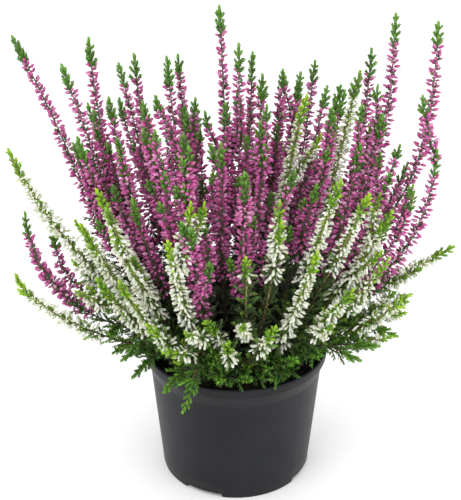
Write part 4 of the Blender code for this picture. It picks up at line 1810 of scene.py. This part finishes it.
@dataclass
class Pot:
    """The turned plastic pot, with a rounded lip, a ledge under the rim and notches in its foot.

    Attributes:
        columns: points round the pot, before those at the notches' edges.
        rounding: the radius of its edges.
        lip: how far below its top the rim's band starts.
        floor: how thick the floor is.
        foot_wall: how thick the foot is.
        bevel: how far the notches' ends slope, in degrees.
        rounded_share: the most of an edge's side that its rounding takes.
        step: the longest step of its half section.
        finish: its plastic.
    """

    columns: int = 120
    rounding: float = 0.7
    lip: float = 1.2
    floor: float = 1.8
    foot_wall: float = WALL + 0.2
    bevel: float = 0.9
    rounded_share: float = 0.42
    step: float = 9.0
    finish: PlasticFinish = PlasticFinish()

    def corners(self) -> Array:
        """List the corners of the half section.

        Returns:
            Radii and heights, from the floor's upper middle over the lip to its under middle.
        """
        lip = POT_HEIGHT - self.lip
        ledge = lip - RIM_BAND
        foot = FOOT_RADIUS - self.foot_wall
        floor = FOOT_HEIGHT + self.floor
        inside = [(foot * 0.5, floor), (foot, floor + 0.4), (foot + 1.1, floor + 1.6),
                  (BODY_RADIUS - WALL, BODY_TOP + 0.4), (RIM_RADIUS - WALL - 1.0, lip)]
        rim = [(RIM_RADIUS - WALL - 0.5, POT_HEIGHT), (RIM_RADIUS - 0.8, POT_HEIGHT), (RIM_RADIUS, lip),
               (RIM_RADIUS - 0.5, ledge + 1.2), (RIM_RADIUS - 1.0, ledge)]
        outside = [(BODY_RADIUS, BODY_TOP), (BODY_RADIUS - 0.25, BODY_TOP - 1.2), (FOOT_RADIUS, 0)]
        under = [(foot, 0), (foot - 1.0, FOOT_HEIGHT), (foot * 0.5, FOOT_HEIGHT)]
        return np.array(inside + rim + outside + under)

    def profile(self) -> Array:
        """Round the half section's corners and fill its long runs.

        Returns:
            Radii and heights, in the corners' order.
        """
        corners = self.corners()
        rounded = [corners[0]]
        for before, corner, after in zip(corners, corners[1:], corners[2:]):
            back, on = before - corner, after - corner
            shorter = min(np.linalg.norm(back), np.linalg.norm(on))
            cut = min(self.rounding, self.rounded_share * shorter)
            first, last = corner + unit(back) * cut, corner + unit(on) * cut
            for share in (0.0, 0.5, 1.0):
                rest = 1 - share
                rounded.append(first * rest ** 2 + corner * 2 * rest * share + last * share ** 2)
        rounded.append(corners[-1])
        filled = [rounded[0]]
        for start, point in zip(rounded, rounded[1:]):
            pieces = max(1, int(np.linalg.norm(point - start) / self.step))
            filled += [start + (point - start) * (n + 1) / pieces for n in range(pieces)]
        return np.array(filled)

    def angles(self) -> tuple[Array, Array]:
        """Lay out the columns, with some at the notches' edges.

        Returns:
            Where they stand, and how far each lies in a notch, from 0 to 1.
        """
        middles, half = np.array(NOTCH_MIDDLES), NOTCH_SPAN / 2
        edges = [middle + side * (half - inset) for middle in NOTCH_MIDDLES
                 for side in (-1, 1) for inset in (0.0, self.bevel)]
        plain = np.arange(self.columns) * 360.0 / self.columns - 180
        apart = np.abs((plain[:, None] - np.array(edges)[None] + 180) % 360 - 180)
        turns = np.sort(np.concatenate([plain[apart.min(1) > 0.5], edges]))
        off = np.abs((turns[:, None] - middles[None] + 180) % 360 - 180).min(1)
        return np.radians(turns), np.clip((half - off) / self.bevel, 0, 1)

    def build(self) -> bpy.types.Object:
        """Build and dress the pot.

        Returns:
            The piece that stands for its solid.
        """
        section = self.profile()
        angles, notched = self.angles()
        taper = (BODY_RADIUS - FOOT_RADIUS) / BODY_TOP
        radius = np.repeat(section[:, 0][:, None], len(angles), 1)
        height = np.repeat(section[:, 1][:, None], len(angles), 1)
        wanted = NOTCH_HEIGHT * notched[None]
        inner = FOOT_RADIUS - self.foot_wall
        ring = (section[:, 0] > inner - 1.2) & (section[:, 1] < FOOT_HEIGHT)
        foot = ring[:, None] & (height < wanted)
        outer = foot & (radius > inner + 0.9)
        radius = np.where(outer, radius + (wanted - height) * taper, radius)
        height = np.where(foot, wanted, height)
        points = capped(turned(radius, angles, height), section[0, 1], section[-1, 1])
        corners, sizes, _ = ring_faces(len(section), len(angles))
        piece = mesh_piece("pot_shell", points, corners[::-1].copy(), sizes[::-1].copy(),
                           [self.finish.material()])
        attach(piece, "root")
        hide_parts("pot")
        return piece


@dataclass
class Peat:
    """The peat: an uneven top with crumbs, bits of bark and root fibres, filling the pot below.

    Attributes:
        seed: starts its random draws.
        rings: rings of points from the middle to the wall.
        columns: points round it.
        crumbs: how many crumbs lie on it.
        chips: how many bits of bark.
        fibres: how many root fibres.
        joints: how many points a fibre has.
        edge: the radius of its top.
        gap: how far it stays off the pot's wall.
        floor: how far its underside lies above the foot's ring.
        cell: the side of its surface's part of the map.
        tint: the tint of its surface.
        fibre_edge: how far inside the edge fibres and crumbs end.
        soil: the finish of the peat and its crumbs.
        bark: the finish of the bark and the fibres.
        random: its draws.
    """

    seed: int = 7
    rings: int = 44
    columns: int = 120
    crumbs: int = 800
    chips: int = 70
    fibres: int = 130
    joints: int = 6
    edge: float = 60.0
    gap: float = 0.5
    floor: float = 2.15
    cell: float = 260.0
    tint: float = 0.45
    fibre_edge: tuple[float, float] = (1.5, 2.5)
    soil: SoilFinish = SoilFinish("peat_soil", wet=(0.006, 0.004, 0.003), damp=(0.022, 0.014, 0.009),
                                  dry=(0.075, 0.045, 0.026))
    bark: SoilFinish = SoilFinish("peat_fibre", wet=(0.030, 0.016, 0.009), damp=(0.085, 0.050, 0.028),
                                  dry=(0.17, 0.11, 0.06))
    random: Random = field(init=False)

    def __post_init__(self) -> None:
        """Start the random draws."""
        self.random = np.random.default_rng(self.seed)

    def surface(self, x: Array, y: Array) -> Array:
        """Read the height of the peat's top.

        Args:
            x: places across it.
            y: places along it.

        Returns:
            The height at each.
        """
        rise = 0.9 * np.sin(x * 0.11 + 0.6) * np.cos(y * 0.13 - 0.4) + 0.5 * np.sin(x * 0.31 - y * 0.27)
        rise += 0.28 * np.sin(x * 0.83 + 1.3 * np.sin(y * 0.71))
        rise += 0.22 * np.cos(y * 1.27 + np.sin(x * 1.13))
        return PEAT_TOP - 0.2 + rise - 2.2 * np.clip((np.hypot(x, y) - 48) / 12, 0, 1) ** 2

    def build(self) -> bpy.types.Object:
        """Build and dress the peat.

        Returns:
            The piece that stands for its solid.
        """
        pool = Pool()
        angles = round_angles(self.columns)
        radius = self.edge * ((np.arange(self.rings) + 1) / self.rings) ** 0.8
        x, y = radius[:, None] * np.cos(angles), radius[:, None] * np.sin(angles)
        top = np.stack([x, y, self.surface(x, y) + self.random.normal(0, 0.16, x.shape)], -1)
        floor = FOOT_HEIGHT + self.floor
        foot = FOOT_RADIUS - WALL - self.gap
        below = np.array([(BODY_RADIUS - WALL - self.gap, BODY_TOP - 0.4), (foot + 0.9, floor + 1.7),
                          (foot, floor + 0.5), (foot * 0.5, floor)])
        rings = np.concatenate([top, turned(below[:, :1], angles, below[:, 1:])])
        points = capped(rings, PEAT_TOP, floor)
        faces = (part[::-1].copy() for part in ring_faces(len(rings), self.columns))
        stamp = Stamp(points, *faces, np.zeros(len(points)), (self.cell, self.cell))
        pool.batches.append(Batch(points[None], stamp, np.array([self.tint]), 0))
        self.scatter(pool)
        piece = pool.piece("peat_crumbs", [self.soil.material(), self.bark.material()])
        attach(piece, "root")
        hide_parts("peat")
        return piece

    def spots(self, count: int) -> Array:
        """Pick places spread over the peat's top.

        Args:
            count: how many.

        Returns:
            The places.
        """
        rho = (self.edge - self.fibre_edge[1]) * np.sqrt(self.random.uniform(0.02, 1, count))
        angle = self.random.uniform(0, FULL_TURN, count)
        x, y = rho * np.cos(angle), rho * np.sin(angle)
        return np.stack([x, y, self.surface(x, y)], -1)

    def scatter(self, pool: Pool) -> None:
        """Lay crumbs, bits of bark and fibres on the peat.

        Args:
            pool: gathers them.
        """
        draw = self.random
        crumb = spindle((-0.55, -0.2, 0.25, 0.6), (0.52, 0.46), 5, (7, 7), (0.2, 0.3))
        many = (self.crumbs, 3)
        at = self.spots(self.crumbs)
        size = (0.55 + 1.5 * draw.uniform(0, 1, self.crumbs) ** 3)[:, None]
        size = size * draw.uniform(0.7, 1.3, many)
        pool.set_down(crumb, at + UP * 0.1, draw.normal(0, 1, many), draw.normal(0, 1, many), size,
                      draw.uniform(0.1, 0.8, self.crumbs), 0)
        chip = spindle((0, 0.2, 0.8, 1.0), (0.30, 0.26), 6, (10, 8), (0.15, 0.25), 0.35)
        many = (self.chips, 3)
        at = self.spots(self.chips)
        flat = unit(draw.normal(0, 1, many) * (1, 1, 0.2))
        size = draw.uniform(2.0, 5.5, self.chips)[:, None] * draw.uniform(0.6, 1.2, many)
        pool.set_down(chip, at + UP * 0.3, np.tile(UP, (self.chips, 1)) + draw.normal(0, 0.3, many),
                      flat, size, draw.uniform(0, 0.7, self.chips), 1)
        for start in self.spots(self.fibres):
            turns = draw.uniform(0, FULL_TURN) + np.cumsum(draw.normal(0, 0.35, self.joints))
            steps = np.stack([np.cos(turns), np.sin(turns)], -1) * draw.uniform(0.8, 1.8)
            x, y = (start[:2] + np.cumsum(steps, axis=0)).T
            if np.hypot(x, y).max() < self.edge - self.fibre_edge[0]:
                height = self.surface(x, y) + draw.uniform(0.15, 0.9, self.joints)
                thick = np.full(self.joints, draw.uniform(0.10, 0.20))
                pool.tube(np.column_stack([x, y, height]), thick, 4, float(draw.uniform(0.1, 0.9)), 1)


@dataclass(frozen=True)
class Lamp:
    """A soft square light.

    Attributes:
        name: its name.
        at: where it hangs, from the middle of the plan.
        size: its side.
        power: its power in watts.
    """

    name: str
    at: tuple[float, float, float]
    size: float
    power: float


@dataclass
class Studio:
    """The plain studio: floor, sky, two soft lights and the camera.

    Attributes:
        camera_at: where the camera stands, from the pot's axis.
        pan: how far it looks to the right, in degrees.
        tilt: how far it looks down, in degrees.
        lens: its focal length for a picture as high as the film.
        film: the height of that picture.
        sight: how near and how far it sees, in metres.
        floor_size: the side of the floor.
        sky_light: the strength of the white sky.
        lamps: the lights.
        aim: what they face.
    """

    camera_at: tuple[float, float, float] = (0.0, -684.3, 504.4)
    pan: float = -0.32
    tilt: float = 26.1
    lens: float = 80.28
    film: float = 36.0
    sight: tuple[float, float] = (0.05, 50.0)
    floor_size: float = 9000.0
    sky_light: float = 1.45
    lamps: tuple[Lamp, ...] = (Lamp("key_light", (-750.0, -900.0, 1250.0), 900.0, 5.5),
                               Lamp("fill_light", (950.0, -500.0, 700.0), 1100.0, 2.5))
    aim: tuple[float, float, float] = (0.0, 0.0, 160.0)

    def build(self) -> None:
        """Build the whole studio."""
        self.floor()
        self.sky()
        for lamp in self.lamps:
            self.light(lamp)
        self.camera()
        scene = bpy.context.scene
        scene.view_settings.view_transform = "Standard"
        scene.view_settings.look = "None"

    def floor(self) -> None:
        """Lay the floor on the ground."""
        half = self.floor_size / 2
        points = np.array([(-half, -half, 0), (half, -half, 0), (half, half, 0), (-half, half, 0)])
        floor = mesh_piece("studio_floor", points, np.arange(4), np.array([4]),
                           [FloorFinish().material()])

    def sky(self) -> None:
        """Light everything evenly from a white sky."""
        world = bpy.data.worlds.new("studio_sky")
        world.use_nodes = True
        background = world.node_tree.nodes["Background"]
        background.inputs["Color"].default_value = (1.0, 1.0, 1.0, 1.0)
        background.inputs["Strength"].default_value = self.sky_light
        bpy.context.scene.world = world

    def light(self, lamp: Lamp) -> None:
        """Hang a light that faces the plant.

        Args:
            lamp: the light.
        """
        data = bpy.data.lights.new(lamp.name, "AREA")
        data.shape = "SQUARE"
        data.size = lamp.size * MM
        data.energy = lamp.power
        light = bpy.data.objects.new(lamp.name, data)
        light.location = Vector(lamp.at) * MM
        facing = Vector(self.aim) * MM - light.location
        light.rotation_euler = facing.to_track_quat("-Z", "Y").to_euler()
        bpy.context.scene.collection.objects.link(light)

    def camera(self) -> None:
        """Stand the camera where the photograph was taken from."""
        pan, tilt = math.radians(self.pan), math.radians(self.tilt)
        data = bpy.data.cameras.new("photo_camera")
        data.sensor_fit = "VERTICAL"
        data.sensor_height = self.film
        data.lens = self.lens
        data.clip_start, data.clip_end = self.sight
        camera = bpy.data.objects.new("photo_camera", data)
        camera.location = (np.array(self.camera_at) - PLAN_MIDDLE) * MM
        level = math.cos(tilt)
        forward = Vector((math.sin(pan) * level, math.cos(pan) * level, -math.sin(tilt)))
        camera.rotation_euler = forward.to_track_quat("-Z", "Y").to_euler()
        bpy.context.scene.collection.objects.link(camera)
        bpy.context.scene.camera = camera


def report(piece: bpy.types.Object) -> int:
    """Log a piece.

    Args:
        piece: the piece.

    Returns:
        Its triangles.
    """
    mesh = piece.data
    triangles = len(mesh.loops) - 2 * len(mesh.polygons)
    LOG.info("%s: %d triangles", piece.name, triangles)
    return triangles


def main() -> None:
    """Build the studio, the pot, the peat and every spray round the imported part."""
    logging.basicConfig(level=logging.INFO, format="%(message)s")
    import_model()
    Studio().build()
    total = report(Pot().build()) + report(Peat().build())
    layout = Layout()
    side_paths = layout.side_paths()
    for number, (name, kind, _) in enumerate(layout.sprays):
        spray = Spray(name, kind, layout.members(number), side_paths.get(number, []), 100 + number)
        total += report(spray.build())
    LOG.info("%d triangles in all", total)


if __name__ == "__main__":
    main()
